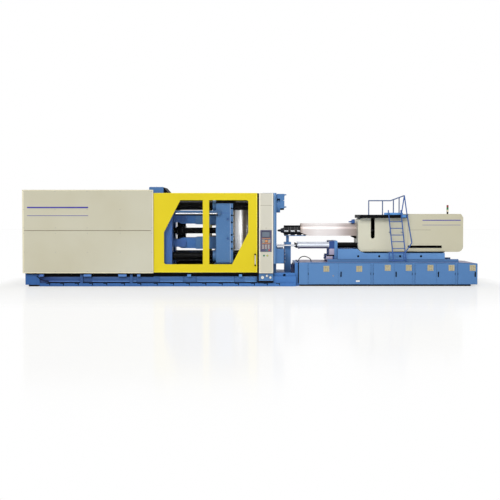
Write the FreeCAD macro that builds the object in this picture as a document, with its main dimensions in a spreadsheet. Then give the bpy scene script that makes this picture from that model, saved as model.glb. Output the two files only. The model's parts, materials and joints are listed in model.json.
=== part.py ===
"""Injection moulding machine, double-toggle clamp on the left (-X), injection unit on the right (+X).

Frame: +Z up, -Y is the operator side, origin on the floor under the middle of the machine.
All lengths are in millimetres.
"""
import FreeCAD, Part
import math
import os
import re

import Sketcher

doc = FreeCAD.newDocument("InjectionMouldingMachine")
sheet = doc.addObject("Spreadsheet::Sheet", "Sizes")

# ---------------------------------------------------------------- driving dimensions
SIZES = dict(
    # whole machine
    half_length=8460, cover_face=1500, center_z=2060, clearance_fit=1, seat=0.3,
    # clamp bed: two box beams on foot rails, cross members, slideways
    bed_left=-8390, bed_right=1675, bed_outer=1290, bed_inner=650, way_edge=950,
    bed_top=371, way_top=496, foot_high=118, foot_out=1350, member_wide=260, member_low=60,
    panel_deep=18, panel_low=170, panel_high=350, end_block_long=530, end_block_top=490,
    deck_left=848, deck_half=1200, lift_hole=52, link_plate=120, link_gap=33, link_high=870,
    # tie bars
    bar_radius=160, bar_y=930, bar_rise=945, bar_left=-4500, bar_right=1240,
    # fixed platen
    fixed_front=432, fixed_thick=520, platen_half=1250, fixed_top=3475, fixed_low=830, foot_half=900,
    nozzle_recess=270, recess_deep=360, nozzle_hole=110, slot_wide=34, slot_deep=38, slot_pitch=260,
    slot_middle=2147, slot_gap=466,
    # moving platen
    move_front=-668, move_thick=630, move_top=3100, move_low=831, boss_radius=205, boss_long=130,
    ear_half=223,
    # rear platen
    back_front=-2940, back_thick=780, back_half=1250, back_top=3475, back_low=640, back_gap=255,
    top_box_left=-3810, top_box_long=536, top_box_high=229, top_box_slope=195, nut_house=272,
    # toggle
    rear_pin_x=-3370, knee_x=-2588, front_pin_x=-1760, link_rise=465, pin_radius=85, link_half=200,
    rear_half=150, lane_one=200, lane_two=290, lane_three=300, lane_four=500,
    lane_five=510, lane_six=600, cross_reach=330, cross_arm=380, cross_half=125, cross_lane=135,
    cross_lane_out=195, cross_pin=465, cross_long=320, cross_bar=70,
    # clamp cylinder, crosshead guides, ejector
    cylinder_radius=212, cylinder_long=1150, rod_radius=90, guide_radius=109, guide_y=330,
    ejector_radius=40, ejector_pitch=230, ejector_thick=90, ejector_size=640,
    # covers over the clamp
    cover_left=-8460, cover_right=-3613, cover_top=3588, cover_low=498, cover_seam=2082,
    cover_skin=6, cover_deep=34, post_size=100, frame_y=1360, rail_drop=28,
    # sliding doors
    door_left=-3740, door_right=232, door_top=3471, door_low=525, door_face=1450, door_thick=60,
    window_top=3208, window_low=829, pane_a=-3222, pane_b=-1784, pane_c=-1547, pane_d=-98,
    slant_top=-2614, slant_z=2018, slant_low=-700, slant_d=2007, glass_thick=8, handle_in=75,
    handle_low=769, handle_high=1224, grip_radius=13, grip_reach=63,
    # control column
    column_left=298, column_right=823, column_low=498, column_seam=3011, column_top=3463,
    column_back=1262, column_wall=5, panel_left=346, panel_right=768, panel_low_z=1294,
    panel_high_z=2097, panel_out=14, button_radius=26, button_out=16, screen_left=413,
    screen_right=694, screen_low=1842, screen_high=2030, bezel=4,
    gauge_face=1420, gauge_low=212, gauge_deep=32,
    # safety bar beside the moving platen, shield on the rear door
    safety_left=-2806, safety_y=1295, safety_z=2711, shield_x=-422, shield_y=1285, shield_low=1270,
    shield_high=2882, shield_round=300, shield_wall=4, blind_low=2899, strap_thick=6,
    # injection base
    base_left=1795, base_half=1200, base_top=885, base_slope_x=7758, base_end_top=840,
    plinth_high=62, plinth_right=8224, plinth_in=60, base_wall=8, door_sheet=18, door_low_z=70,
    door_high_z=850, louvre_size=210, louvre_slats=7, swing_low=355, swing_high=530, knuckle_radius=9,
    tank_left=2300, tank_right=4300, tank_top=560, motor_y=-450, motor_radius=118,
    # carriage
    rail_low=885, rail_high=990, rail_right=7810, carriage_left=3155, carriage_plate=116,
    carriage_back=7292, carriage_half=900, carriage_top=1223, carriage_high=1377,
    plate_top=1678, guide_rod=95, guide_rod_y=420, guide_rod_z=1500, porthole_z=1103,
    porthole_radius=42,
    # injection housing
    house_left=4040, house_right=7996, house_step=5917, house_front_top=2542, house_top=2696,
    house_low=1265, house_half=800, house_round=200, house_skin=6, chute_half=73.5, chute_low=1842,
    scale_right=7192, scale_low=1423, scale_high=1494,
    # barrel
    barrel_radius=125, screw_radius=65, screw_core=40, nozzle_tip=1021, barrel_front=1255,
    barrel_cover_left=1895, barrel_cover_top=2340, barrel_cover_low=1862, barrel_cover_half=240,
    cylinder_left=1784, cylinder_right=2959, cylinder_y=550, cylinder_z=1500, ram_radius=30,
    ram_tube=113, ram_collar=128, collar_long=60,
    stand_left=1286, stand_right=1520, stand_y=320, stand_top=1543,
    saddle_z=1849, band_gap=70, band_long=180, band_thick=30, barrel_back=5200, throat_x=4588.5,
    throat_radius=60, drive_left=5980, drive_thick=120, unit_half=590, pump_x=1562, pump_y=-1040,
    # platform and ladder
    deck_x=4069, deck_end=5871, deck_thick=120, deck_over=240, rail_top=3190, rail_start=4409,
    rail_bend=5224, rail_end=5722, hand_top=3376, rear_stretch=1.0457, ladder_y=1150, tube_radius=21,
    ladder_top=2840, ladder_left=5124, ladder_foot=5333, rung_radius=15, rung_pitch=250, rung_low=1407,
    hoop_left=5169, hoop_right=5707, hoop_low=956, hoop_high=1244, beacon_x=7495,
    hose_radius=16, cable_radius=12,
)

for row, (alias, number) in enumerate(SIZES.items(), start=1):
    sheet.set(f"A{row}", alias)
    sheet.set(f"B{row}", str(number))
    sheet.setAlias(f"B{row}", alias)
doc.recompute()

ALIAS = re.compile(r"\b(" + "|".join(sorted(SIZES, key=len, reverse=True)) + r")\b")


def full(expression):
    """The expression with each size's name made into a reference to the sheet."""
    return ALIAS.sub(r"Sizes.\1", str(expression))


def value(expression):
    return float(sheet.evalExpression(full(expression)))


def bind(item, **places):
    """Bind properties to expressions of the sheet's sizes; x, y and z are the place."""
    for key, expression in places.items():
        path = f"Placement.Base.{key}" if key in "xyz" else key
        item.setExpression(path, full(expression))
    return item


# ---------------------------------------------------------------- building helpers
TURN = {
    "x": FreeCAD.Rotation(FreeCAD.Vector(0, 1, 0), 90),
    "y": FreeCAD.Rotation(FreeCAD.Vector(1, 0, 0), -90),
    "z": FreeCAD.Rotation(),
}
ROLE = {"z": "XY_Plane", "y": "XZ_Plane", "x": "YZ_Plane"}
parts = {}


def fresh(kind, name="Piece"):
    return doc.addObject(kind, name)


def span(x0, x1, y0, y1, z0, z1):
    """A box between two corners, each coordinate an expression."""
    box = fresh("Part::Box", "Block")
    bind(box, Length=f"({x1})-({x0})", Width=f"({y1})-({y0})", Height=f"({z1})-({z0})", x=x0, y=y0, z=z0)
    return box


def rod(axis, x, y, z, radius, length):
    """A cylinder that starts at a point and runs along +axis."""
    bar = fresh("Part::Cylinder", "Round")
    bar.Placement = FreeCAD.Placement(FreeCAD.Vector(), TURN[axis])
    return bind(bar, Radius=radius, Height=length, x=x, y=y, z=z)


def taper(axis, x, y, z, first, second, length):
    cone = fresh("Part::Cone", "Taper")
    cone.Placement = FreeCAD.Placement(FreeCAD.Vector(), TURN[axis])
    return bind(cone, Radius1=first, Radius2=second, Height=length, x=x, y=y, z=z)


def fuse(*items):
    if len(items) == 1:
        return items[0]
    joined = fresh("Part::MultiFuse", "Joined")
    joined.Shapes = list(items)
    joined.Refine = True
    return joined


def cut(base, *tools):
    rest = fresh("Part::Cut", "Rest")
    rest.Base = base
    rest.Tool = fuse(*tools)
    rest.Refine = True
    return rest


def group(*items):
    """Separate solids of one node."""
    several = fresh("Part::Compound", "Group")
    several.Links = list(items)
    return several


def twin(item, normal=(0, 1, 0), z="0"):
    """The mirror image in the machine's middle plane, or in a level plane."""
    other = fresh("Part::Mirroring", "Twin")
    other.Source = item
    other.Normal = FreeCAD.Vector(*normal)
    other.setExpression("Base.z", full(z))
    return other


def both(item):
    return group(item, twin(item))


def loop(sketch, points):
    """A closed outline of straight lines through points given as expressions."""
    first = sketch.GeometryCount
    spots = [FreeCAD.Vector(value(u), value(v), 0) for u, v in points]
    for index, spot in enumerate(spots):
        sketch.addGeometry(Part.LineSegment(spot, spots[(index + 1) % len(spots)]), False)
    for index, (u, v) in enumerate(points):
        line = first + index
        following = first + (index + 1) % len(points)
        sketch.addConstraint(Sketcher.Constraint("Coincident", line, 2, following, 1))
        for kind, expression in (("DistanceX", u), ("DistanceY", v)):
            number = sketch.addConstraint(Sketcher.Constraint(kind, -1, 1, line, 1, value(expression)))
            sketch.setExpression(f"Constraints[{number}]", full(expression))


def ring(sketch, u, v, radius):
    """A circle whose centre and radius are expressions."""
    centre = FreeCAD.Vector(value(u), value(v), 0)
    line = sketch.addGeometry(Part.Circle(centre, FreeCAD.Vector(0, 0, 1), value(radius)), False)
    for kind, expression in (("DistanceX", u), ("DistanceY", v)):
        number = sketch.addConstraint(Sketcher.Constraint(kind, -1, 1, line, 3, value(expression)))
        sketch.setExpression(f"Constraints[{number}]", full(expression))
    number = sketch.addConstraint(Sketcher.Constraint("Radius", line, value(radius)))
    sketch.setExpression(f"Constraints[{number}]", full(radius))


def plate(axis, start, length, outline, windows=(), holes=()):
    """A plate padded along +axis from start; on the y axis the sketch's plane is X and Z.

    outline and windows are lists of (u, v) expressions, holes are (u, v, radius).
    """
    body = fresh("PartDesign::Body", "Plate")
    sketch = body.newObject("Sketcher::SketchObject", "Outline")
    plane = next(item for item in body.Origin.OriginFeatures if item.Role == ROLE[axis])
    sketch.AttachmentSupport = (plane, [""])
    sketch.MapMode = "FlatFace"
    offset = f"-({start})-({length})" if axis == "y" else start
    sketch.setExpression("AttachmentOffset.Base.z", full(offset))
    loop(sketch, outline)
    for window in windows:
        loop(sketch, window)
    for hole in holes:
        ring(sketch, *hole)
    pad = body.newObject("PartDesign::Pad", "Pad")
    pad.Profile = sketch
    pad.setExpression("Length", full(length))
    return body


def softened(item, radius, chosen):
    """Fillets of one radius on the edges that chosen(edge) picks."""
    doc.recompute()
    rounded = fresh("Part::Fillet", "Rounded")
    rounded.Base = item
    size = value(radius)
    picked = [n for n, edge in enumerate(item.Shape.Edges, start=1) if chosen(edge)]
    rounded.Edges = [(n, size, size) for n in picked]
    return rounded


def along(edge, axis):
    """Whether a straight edge runs along an axis."""
    if edge.Curve.TypeId != "Part::GeomLine":
        return False
    step = edge.Vertexes[-1].Point - edge.Vertexes[0].Point
    return abs(abs(getattr(step, axis)) - step.Length) < 1e-6 * max(step.Length, 1)


def slot(start, length, x0, x1, z, radius):
    """A flat bar padded along +Y, with round ends between two centres on one level."""
    ends = [rod("y", x, start, z, radius, length) for x in (x0, x1)]
    return fuse(*ends, span(x0, x1, start, f"({start})+({length})", f"({z})-({radius})", f"({z})+({radius})"))


def keep(name, item):
    """Register a finished sub-part under its own name."""
    item.Label = name
    parts[name] = item


def tube_path(points, size):
    """A tube along straight runs joined by tangent arcs; prints its smallest bend."""
    spots = [FreeCAD.Vector(*spot) for spot in points]
    radius = value(size)
    edges = []
    start = spots[0]
    bends = []
    for before, here, after in zip(spots, spots[1:], spots[2:]):
        back = before - here
        ahead = after - here
        half = (math.pi - back.getAngle(ahead)) / 2
        reach = 0.45 * min(back.Length, ahead.Length)
        bend = reach / math.tan(half)
        entry = here + back.normalize() * reach
        leave = here + ahead.normalize() * reach
        middle = (back + ahead).normalize()
        top = here + middle * (bend / math.cos(half) - bend)
        edges.append(Part.LineSegment(start, entry).toShape())
        edges.append(Part.Arc(entry, top, leave).toShape())
        start = leave
        bends.append(bend)
    edges.append(Part.LineSegment(start, spots[-1]).toShape())
    wire = Part.Wire(edges)
    round_end = Part.Circle(spots[0], spots[1] - spots[0], radius).toShape()
    tube = wire.makePipeShell([Part.Wire([round_end])], True, True)
    print(f"tube of radius {radius}: smallest bend {min(bends):.0f}, length {wire.Length:.0f},"
          f" volume ratio {tube.Volume / (math.pi * radius ** 2 * wire.Length):.4f}")
    piece = fresh("Part::Feature", "Tube")
    piece.Shape = tube
    return piece


# ---------------------------------------------------------------- names of places worked out from the sizes
UPPER_BAR = "center_z+bar_rise"
LOWER_BAR = "center_z-bar_rise"
BAR_SPOTS = [(f"{side}bar_y", level) for level in (UPPER_BAR, LOWER_BAR) for side in ("-", "")]
FIXED_BACK = "fixed_front+fixed_thick"
MOVE_BACK = "move_front-move_thick"
BACK_REAR = "back_front-back_thick"
UP = "center_z+link_rise"
CROSS_X = "rear_pin_x+cross_reach+sqrt(cross_arm*cross_arm-(cross_pin-link_rise)*(cross_pin-link_rise))"


def bores(x, length, radius):
    """Four holes round the tie bars."""
    return [rod("x", x, y, z, radius, length) for y, z in BAR_SPOTS]


def web_panel(left, right):
    """A recess in the outer face of a bed beam."""
    return both(span(left, right, "-bed_outer-1", "-bed_outer+panel_deep", "panel_low", "panel_high"))


# ---------------------------------------------------------------- clamp bed
beam = plate("x", "bed_left", "bed_right-bed_left", [
    ("-bed_outer", "foot_high"), ("-bed_inner", "foot_high"), ("-bed_inner", "way_top"),
    ("-way_edge", "way_top"), ("-way_edge", "bed_top"), ("-bed_outer", "bed_top")])
foot = span("bed_left+end_block_long-1", "bed_right", "-foot_out", "-bed_inner", 0, "foot_high")
end_block = span("bed_left", "bed_left+end_block_long", "-foot_out", "-bed_inner", "panel_low-110",
                 "end_block_top")
members = [span(x, f"({x})+member_wide", "-bed_inner-1", "bed_inner+1", "member_low", "bed_top")
           for x in ("bed_left", "-6300", "-4400", "back_front-member_wide", "-1500", "fixed_front", "1400")]
deck = cut(span("deck_left", "bed_right-10", "-deck_half", "deck_half", "bed_top-1", "way_top"),
           rod("y", "deck_left+400", "-deck_half-1", "way_top-85", "lift_hole", "2*deck_half+2"))
panels = [web_panel(*ends) for ends in (
    (-7520, -6250), (-5911, -4281), (-3419, -2453), (-2056, -596), (-236, 217))]
link_plate = fuse(span("bed_right-1", "base_left", "-1150", "1150", 0, "foot_high"),
                  span("base_left-link_gap-link_plate", "base_left-link_gap", "-1150", "1150", 0,
                       "link_high"))
keep("clamp_bed", cut(fuse(both(beam), both(foot), both(end_block), *members, deck, link_plate), *panels))

# support blocks between the bed's top and the lower door rails
carriers = [span(x, f"({x})+{wide}", "-frame_y-80", "-way_edge-200", "bed_top", "door_low-70")
            for x, wide in ((-7850, 150), (-6212, 280), (-4923, 300), (-4225, 115), (-2361, 135),
                            (-444, 112))]
rail_blocks = both(fuse(*carriers))

# ---------------------------------------------------------------- platens and tie bars
FIXED_SPACE = [("-foot_half", "way_top"), ("foot_half", "way_top"), ("foot_half", "fixed_low"),
               ("platen_half", "fixed_low"), ("platen_half", "fixed_top"), ("-platen_half", "fixed_top"),
               ("-platen_half", "fixed_low"), ("-foot_half", "fixed_low")]
fixed_plate = plate("x", "fixed_front", "fixed_thick", FIXED_SPACE,
                    holes=[(y, z, "bar_radius") for y, z in BAR_SPOTS])
recess = rod("x", f"({FIXED_BACK})-recess_deep", 0, "center_z", "nozzle_recess", "recess_deep+1")
throat = rod("x", "fixed_front-1", 0, "center_z", "nozzle_hole", "fixed_thick+2")


def slots(face, side):
    """Level T-slots across a platen's mould face; side is +1 where the metal lies at -X."""
    tools = []
    for sign, step in ((sign, step) for sign in "+-" for step in range(3)):
        z = f"slot_middle{sign}(slot_gap/2+{step}*slot_pitch)"
        near = f"({face})-slot_deep*{side}"
        deep = f"({face})-2*slot_deep*{side}"
        ends = sorted((near, face), key=value)
        tools.append(span(ends[0], f"({ends[1]})+{side}" if side > 0 else ends[1], "-platen_half-1",
                          "platen_half+1", f"{z}-slot_wide/2", f"{z}+slot_wide/2"))
        ends = sorted((deep, near), key=value)
        tools.append(span(*ends, "-platen_half-1", "platen_half+1", f"{z}-slot_wide", f"{z}+slot_wide"))
    return tools


keep("fixed_platen", cut(fixed_plate, recess, throat, *slots("fixed_front", -1)))

keep("tie_bars", group(*[rod("x", "bar_left", y, z, "bar_radius-clearance_fit/2", "bar_right-bar_left")
                         for y, z in BAR_SPOTS]))

nuts = [cut(rod("x", FIXED_BACK, y, z, "bar_radius+100", 140), rod("x", f"({FIXED_BACK})-1", y, z,
                                                                   "bar_radius", 142))
        for y, z in BAR_SPOTS[:2]]
cap = plate("y", "-bar_y-250", 500, [
    (f"{FIXED_BACK}+20", f"{UPPER_BAR}+bar_radius+101"), (f"{FIXED_BACK}+141", f"{UPPER_BAR}+bar_radius+101"),
    (f"{FIXED_BACK}+141", f"{UPPER_BAR}-99"), (f"{FIXED_BACK}+296", f"{UPPER_BAR}-99"),
    (f"{FIXED_BACK}+296", "fixed_top-32"), (f"{FIXED_BACK}+20", "fixed_top-32")])
cap_bore = rod("x", FIXED_BACK, "-bar_y", UPPER_BAR, "bar_radius", f"bar_right-({FIXED_BACK})")
seam = span(f"{FIXED_BACK}+180", f"{FIXED_BACK}+300", "-bar_y-251", "-bar_y+251",
            f"{UPPER_BAR}+190", f"{UPPER_BAR}+204")
studs = [rod("x", f"{FIXED_BACK}+296", "-bar_y", z, 22, 80) for z in ("fixed_top-62", f"{UPPER_BAR}-50")]
nut_housings = both(fuse(cut(cap, cap_bore, seam), *studs))
low_block = softened(span(FIXED_BACK, f"{FIXED_BACK}+308", "-bar_y-nut_house", "-bar_y+nut_house",
                          f"{LOWER_BAR}-nut_house", f"{LOWER_BAR}+nut_house"), 45, lambda edge: along(edge,
                                                                                                      "x"))
low_lid = rod("x", f"{FIXED_BACK}+307", "-bar_y", LOWER_BAR, "bar_radius+40", 13)
low_housings = both(cut(fuse(low_block, low_lid),
                        rod("x", FIXED_BACK, "-bar_y", LOWER_BAR, "bar_radius", f"bar_right-({FIXED_BACK})")))
keep("tie_bar_nuts", group(*nuts, low_housings, nut_housings))

# moving platen: mould plate, bosses round the bars, ears that hold the toggle's front pins, shoes
mould_plate = plate("x", MOVE_BACK, "move_thick", [
    ("-platen_half+60", "move_low"), ("platen_half-60", "move_low"), ("platen_half", "move_low+60"),
    ("platen_half", "move_top"), ("platen_half-180", "move_top+110"), ("-platen_half+180", "move_top+110"),
    ("-platen_half", "move_top"), ("-platen_half", "move_low+60")])
bosses = [rod("x", f"{MOVE_BACK}-boss_long", y, z, "boss_radius", "boss_long+1") for y, z in BAR_SPOTS]


def ear(first, last, rise):
    """A plate on the moving platen's back that holds a front pin's end."""
    body = span("front_pin_x-331", f"({MOVE_BACK})+1", first, last, f"{rise}-ear_half", f"{rise}+ear_half")
    return cut(body, rod("y", "front_pin_x", f"({first})-1", rise, "pin_radius*0.6", f"({last})-({first})+2"))


EAR_LANES = (("lane_one", "lane_two"), ("lane_five", "lane_six"))
ears = [ear(*lane, UP) for lane in EAR_LANES]
ears += [twin(item, (0, 0, 1), "center_z") for item in ears]
ears += [twin(item) for item in ears]
shoes = both(span(f"{MOVE_BACK}-100", "move_front+100", "-way_edge+20", "-bed_inner-20", "way_top+seat",
                  "move_low+1"))
rod_sockets = [rod("x", f"{MOVE_BACK}-40", f"{side}guide_y", "center_z", "guide_radius+45", 41)
               for side in ("-", "")]
pin_holes = [rod("x", f"{MOVE_BACK}-60", y, z, "ejector_radius+clearance_fit/2", "move_thick+62")
             for y in ("-ejector_pitch/2", "ejector_pitch/2") for z in ("center_z-ejector_pitch",
                                                                        "center_z+ejector_pitch")]
platen_block = cut(fuse(mould_plate, *bosses, *ears, shoes, *rod_sockets),
                   *bores(f"{MOVE_BACK}-boss_long-1", "move_thick+boss_long+2", "bar_radius+clearance_fit/2"),
                   *pin_holes, *slots("move_front", 1))

# rear platen: a back plate with two deep cheeks, open in the middle for the toggles
BACK_FRONT_FACE = f"({BACK_REAR})+160"
back_wall = plate("x", BACK_REAR, 160, [
    ("-back_half", "back_low"), ("back_half", "back_low"), ("back_half", "back_top-60"),
    ("back_half-60", "back_top"), ("-back_half+60", "back_top"), ("-back_half", "back_top-60")])
cheek = softened(span(f"({BACK_FRONT_FACE})-1", "back_front", "-back_half", "-lane_six-30", "back_low",
                      "back_top"),
                 40, lambda edge: along(edge, "x") and edge.CenterOfMass.y < -value("back_half") + 1)
lug = slot("lane_three+1", "lane_four-lane_three-2", f"({BACK_FRONT_FACE})-60", "rear_pin_x", UP, "rear_half")
lug = cut(lug, rod("y", "rear_pin_x", "lane_three", UP, "pin_radius*0.6", "lane_four-lane_three"))
lugs = [lug, twin(lug, (0, 0, 1), "center_z")]
lugs += [twin(item) for item in lugs]
shoe_blocks = both(span(BACK_REAR, "back_front", "-way_edge+20", "-bed_inner-20", "way_top+seat",
                        "back_low+1"))
rod_holes = [rod("x", f"({BACK_REAR})-1", f"{side}guide_y", "center_z", "guide_radius+6",
                 162) for side in ("-", "")]
keep("rear_platen", cut(fuse(back_wall, both(cheek), *lugs, shoe_blocks),
                        *bores(f"({BACK_REAR})-1", "back_thick+2", "bar_radius+clearance_fit/2"), *rod_holes,
                        rod("x", f"({BACK_REAR})-1", 0, "center_z", "rod_radius+2", 162)))
drive_box = span("top_box_left", "top_box_left+top_box_long", -1000, 1000, "back_top",
                 "back_top+top_box_high")
drive_cover = softened(drive_box, 30,
                       lambda edge: along(edge, "y") and edge.CenterOfMass.z > value("back_top") + 9)
wedge = plate("y", -950, 1900, [
    ("top_box_left+top_box_long", "back_top"), ("top_box_left+top_box_long+top_box_slope", "back_top"),
    ("top_box_left+top_box_long", "back_top+top_box_high-10")])
drive_cover = fuse(drive_cover, wedge)
height_nuts = [cut(fuse(rod("x", f"({BACK_REAR})-150", y, z, "bar_radius+90", 150),
                        rod("x", f"({BACK_REAR})-95", y, z, "bar_radius+140", 60)),
                   rod("x", f"({BACK_REAR})-151", y, z, "bar_radius+clearance_fit/2",
                       152)) for y, z in BAR_SPOTS]
keep("height_drive", group(drive_cover, *height_nuts))

# ---------------------------------------------------------------- toggles
PIN_BORE = "pin_radius+clearance_fit/2"


def rear_link(first, last):
    """A link cheek from the rear pin to the knee, its knee end wider than its rear end."""
    return slot(first, f"({last})-({first})", "rear_pin_x", "knee_x", UP, "rear_half-4")


rear_plates = [rear_link("lane_one", "lane_two"), rear_link("lane_five", "lane_six")]
knee_pin = rod("y", "knee_x", "lane_one-3", UP, "pin_radius", "lane_six-lane_one+6")
eye_pin = rod("y", "rear_pin_x+cross_reach", "cross_lane", UP, "cross_bar/2", "lane_one-cross_lane+1")
rear_pin = rod("y", "rear_pin_x", "lane_one-3", UP, "pin_radius*0.6-1", "lane_six-lane_one+6")
rear_side = fuse(*rear_plates, knee_pin, eye_pin, rear_pin)
keep("upper_rear_links", both(rear_side))
keep("lower_rear_links", twin(parts["upper_rear_links"], (0, 0, 1), "center_z"))

front_body = slot("lane_three", "lane_four-lane_three", "knee_x", "front_pin_x", UP, "link_half")
front_rib = slot("lane_three-6", "lane_four-lane_three+12", "knee_x", "front_pin_x-150", UP, "link_half-55")
front_side = cut(fuse(front_body, front_rib), rod("y", "knee_x", "lane_three-9", UP, PIN_BORE,
                                                  "lane_four-lane_three+18"))
keep("upper_front_links", both(front_side))
keep("lower_front_links", twin(parts["upper_front_links"], (0, 0, 1), "center_z"))
caps = [rod("y", "front_pin_x", first, UP, "pin_radius+25", "22") for first in ("lane_one-22", "lane_six")]
caps += [rod("y", "front_pin_x", first, UP, "pin_radius*0.6-1",
             "lane_two-lane_one") for first in ("lane_one", "lane_five")]
pin_ends = [fuse(caps[0], caps[2]), fuse(caps[1], caps[3])]
pin_ends += [twin(item, (0, 0, 1), "center_z") for item in pin_ends]
pin_ends += [twin(item) for item in pin_ends]

# crosshead on two guide bars, its short links and the clamp cylinder
head = span(f"({CROSS_X})-cross_long/2", f"({CROSS_X})+cross_long/2", "-cross_half", "cross_half",
            "center_z-cross_pin-80", "center_z+cross_pin+80")
arms = span(f"({CROSS_X})-cross_long/2", f"({CROSS_X})+cross_long/2", "-guide_y-guide_radius-45",
            "guide_y+guide_radius+45", "center_z-guide_radius-45", "center_z+guide_radius+45")
guides = [rod("x", f"({CROSS_X})-cross_long/2-1", f"{side}guide_y", "center_z",
              "guide_radius+clearance_fit/2",
              "cross_long+2") for side in ("-", "")]
head_block = cut(softened(fuse(head, arms), 25, lambda edge: along(edge, "x")), *guides)
keep("guide_bars", both(rod("x", f"({BACK_REAR})+60", "-guide_y", "center_z", "guide_radius",
                            f"({MOVE_BACK})-40-({BACK_REAR})-60")))
arm = slot("cross_lane+2", "cross_lane_out-cross_lane-4", "rear_pin_x+cross_reach",
           "rear_pin_x+cross_reach+cross_arm", UP, "cross_bar")
arm = cut(arm, rod("y", "rear_pin_x+cross_reach", "cross_lane", UP, "cross_bar/2+clearance_fit/2",
                   "cross_lane_out-cross_lane"))
keep("upper_crosshead_links", both(arm))
keep("lower_crosshead_links", twin(parts["upper_crosshead_links"], (0, 0, 1), "center_z"))
barrel_body = rod("x", f"({BACK_REAR})-cylinder_long", 0, "center_z", "cylinder_radius-30", "cylinder_long")
flanges = [rod("x", x, 0, "center_z", "cylinder_radius", 70) for x in
           (f"({BACK_REAR})-70", f"({BACK_REAR})-cylinder_long")]
hollow = rod("x", f"({BACK_REAR})-cylinder_long+60", 0, "center_z", "cylinder_radius-70", "cylinder_long-59")
keep("clamp_cylinder", cut(fuse(barrel_body, *flanges), hollow))
piston = rod("x", f"({BACK_REAR})-560", 0, "center_z", "cylinder_radius-72", 120)
piston_rod = fuse(piston, rod("x", f"({BACK_REAR})-560", 0, "center_z", "rod_radius",
                                          f"({CROSS_X})-cross_long/2-({BACK_REAR})+560"))
keep("crosshead", group(head_block, piston_rod))

# ejector behind the moving platen
EJECTOR_X = f"({MOVE_BACK})-260"
ejector_pins = [rod("x", EJECTOR_X, y, z, "ejector_radius", f"move_front-20-({EJECTOR_X})")
                for y in ("-ejector_pitch/2", "ejector_pitch/2") for z in ("center_z-ejector_pitch",
                                                                           "center_z+ejector_pitch")]
ejector = span(f"({EJECTOR_X})-ejector_thick", EJECTOR_X, "-lane_one+15", "lane_one-15",
               "center_z-ejector_size/2",
               "center_z+ejector_size/2")
stay_spots = [(y, z) for y in ("-70", "70") for z in ("center_z-70", "center_z+70")]
stay_holes = [rod("x", f"({EJECTOR_X})-ejector_thick-1", y, z, 24, "ejector_thick+2") for y, z in stay_spots]
keep("ejector_plate", cut(fuse(ejector, *ejector_pins), *stay_holes))
stays = [rod("x", f"({EJECTOR_X})-ejector_thick-30", y, z, 20,
             f"({MOVE_BACK})-({EJECTOR_X})+ejector_thick+30") for y, z in stay_spots]
ejector_body = rod("x", f"({EJECTOR_X})-ejector_thick-180", 0, "center_z", 115, 151)
ejector_cylinder = fuse(ejector_body, *stays)
keep("moving_platen", group(platen_block, ejector_cylinder, *pin_ends))

# ---------------------------------------------------------------- covers round the clamp


def cover_panel(low, high):
    """A sheet panel folded back along its edges, open at the back."""
    skin = span("cover_left", "cover_right", "-cover_face", "-cover_face+cover_deep", low, high)
    inner = span("cover_left+cover_skin", "cover_right-cover_skin", "-cover_face+cover_skin",
                 "-cover_face+cover_deep+1", f"({low})+cover_skin", f"({high})-cover_skin")
    return cut(skin, inner)


front_low = cover_panel("cover_low", "cover_seam-4")
front_high = cover_panel("cover_seam", "cover_top")
keep("side_covers", both(group(front_low, front_high)))
end_sheet = span("cover_left", "cover_left+cover_deep", "-cover_face+cover_deep", "cover_face-cover_deep",
                 "cover_low", "cover_top")
end_inner = span("cover_left+cover_skin", "cover_left+cover_deep+1", "-cover_face+cover_deep+cover_skin",
                 "cover_face-cover_deep-cover_skin", "cover_low+cover_skin", "cover_top-cover_skin")
keep("end_cover", cut(end_sheet, end_inner))
POST_SPOTS = ("cover_left+cover_deep", "-6350", "-4500")
CROWN = "cover_top-post_size-20"
posts = [span(x, f"({x})+post_size", "-frame_y", "-bed_outer", low, CROWN)
         for x, low in zip(POST_SPOTS, ("end_block_top", "foot_high", "foot_high"))]
rail = span("cover_left+cover_deep", "cover_right-20", "-frame_y", "-bed_outer", CROWN, "cover_top-20")
beams = [span(x, f"({x})+post_size", "-bed_outer-1", "bed_outer+1", CROWN,
              "cover_top-20") for x in POST_SPOTS]
keep("cover_frame", fuse(both(fuse(*posts, rail)), *beams))

# ---------------------------------------------------------------- sliding doors
PANE_LEFT = [("slant_top", "window_top"), ("pane_b", "window_top"), ("pane_b", "window_low"),
             ("pane_a+50", "window_low"), ("pane_a", "window_low+50"), ("pane_a", "slant_z")]
PANE_RIGHT = [("pane_c", "window_top"), ("pane_d-50", "window_top"), ("pane_d", "window_top-50"),
              ("pane_d", "slant_d"), ("slant_low", "window_low"), ("pane_c", "window_low")]
door_plate = plate("y", "-door_face", "door_thick", [
    ("door_left", "door_low"), ("door_right", "door_low"), ("door_right", "door_top"), ("door_left",
                                                                                        "door_top")],
    windows=(PANE_LEFT, PANE_RIGHT))


def grown(points, margin):
    """A window's outline moved outwards by a margin, for the pane behind it."""
    middle_u = sum(value(u) for u, v in points) / len(points)
    middle_v = sum(value(v) for u, v in points) / len(points)
    return [(f"({u}){'+' if value(u) > middle_u else '-'}{margin}",
             f"({v}){'+' if value(v) > middle_v else '-'}{margin}") for u, v in points]


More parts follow.
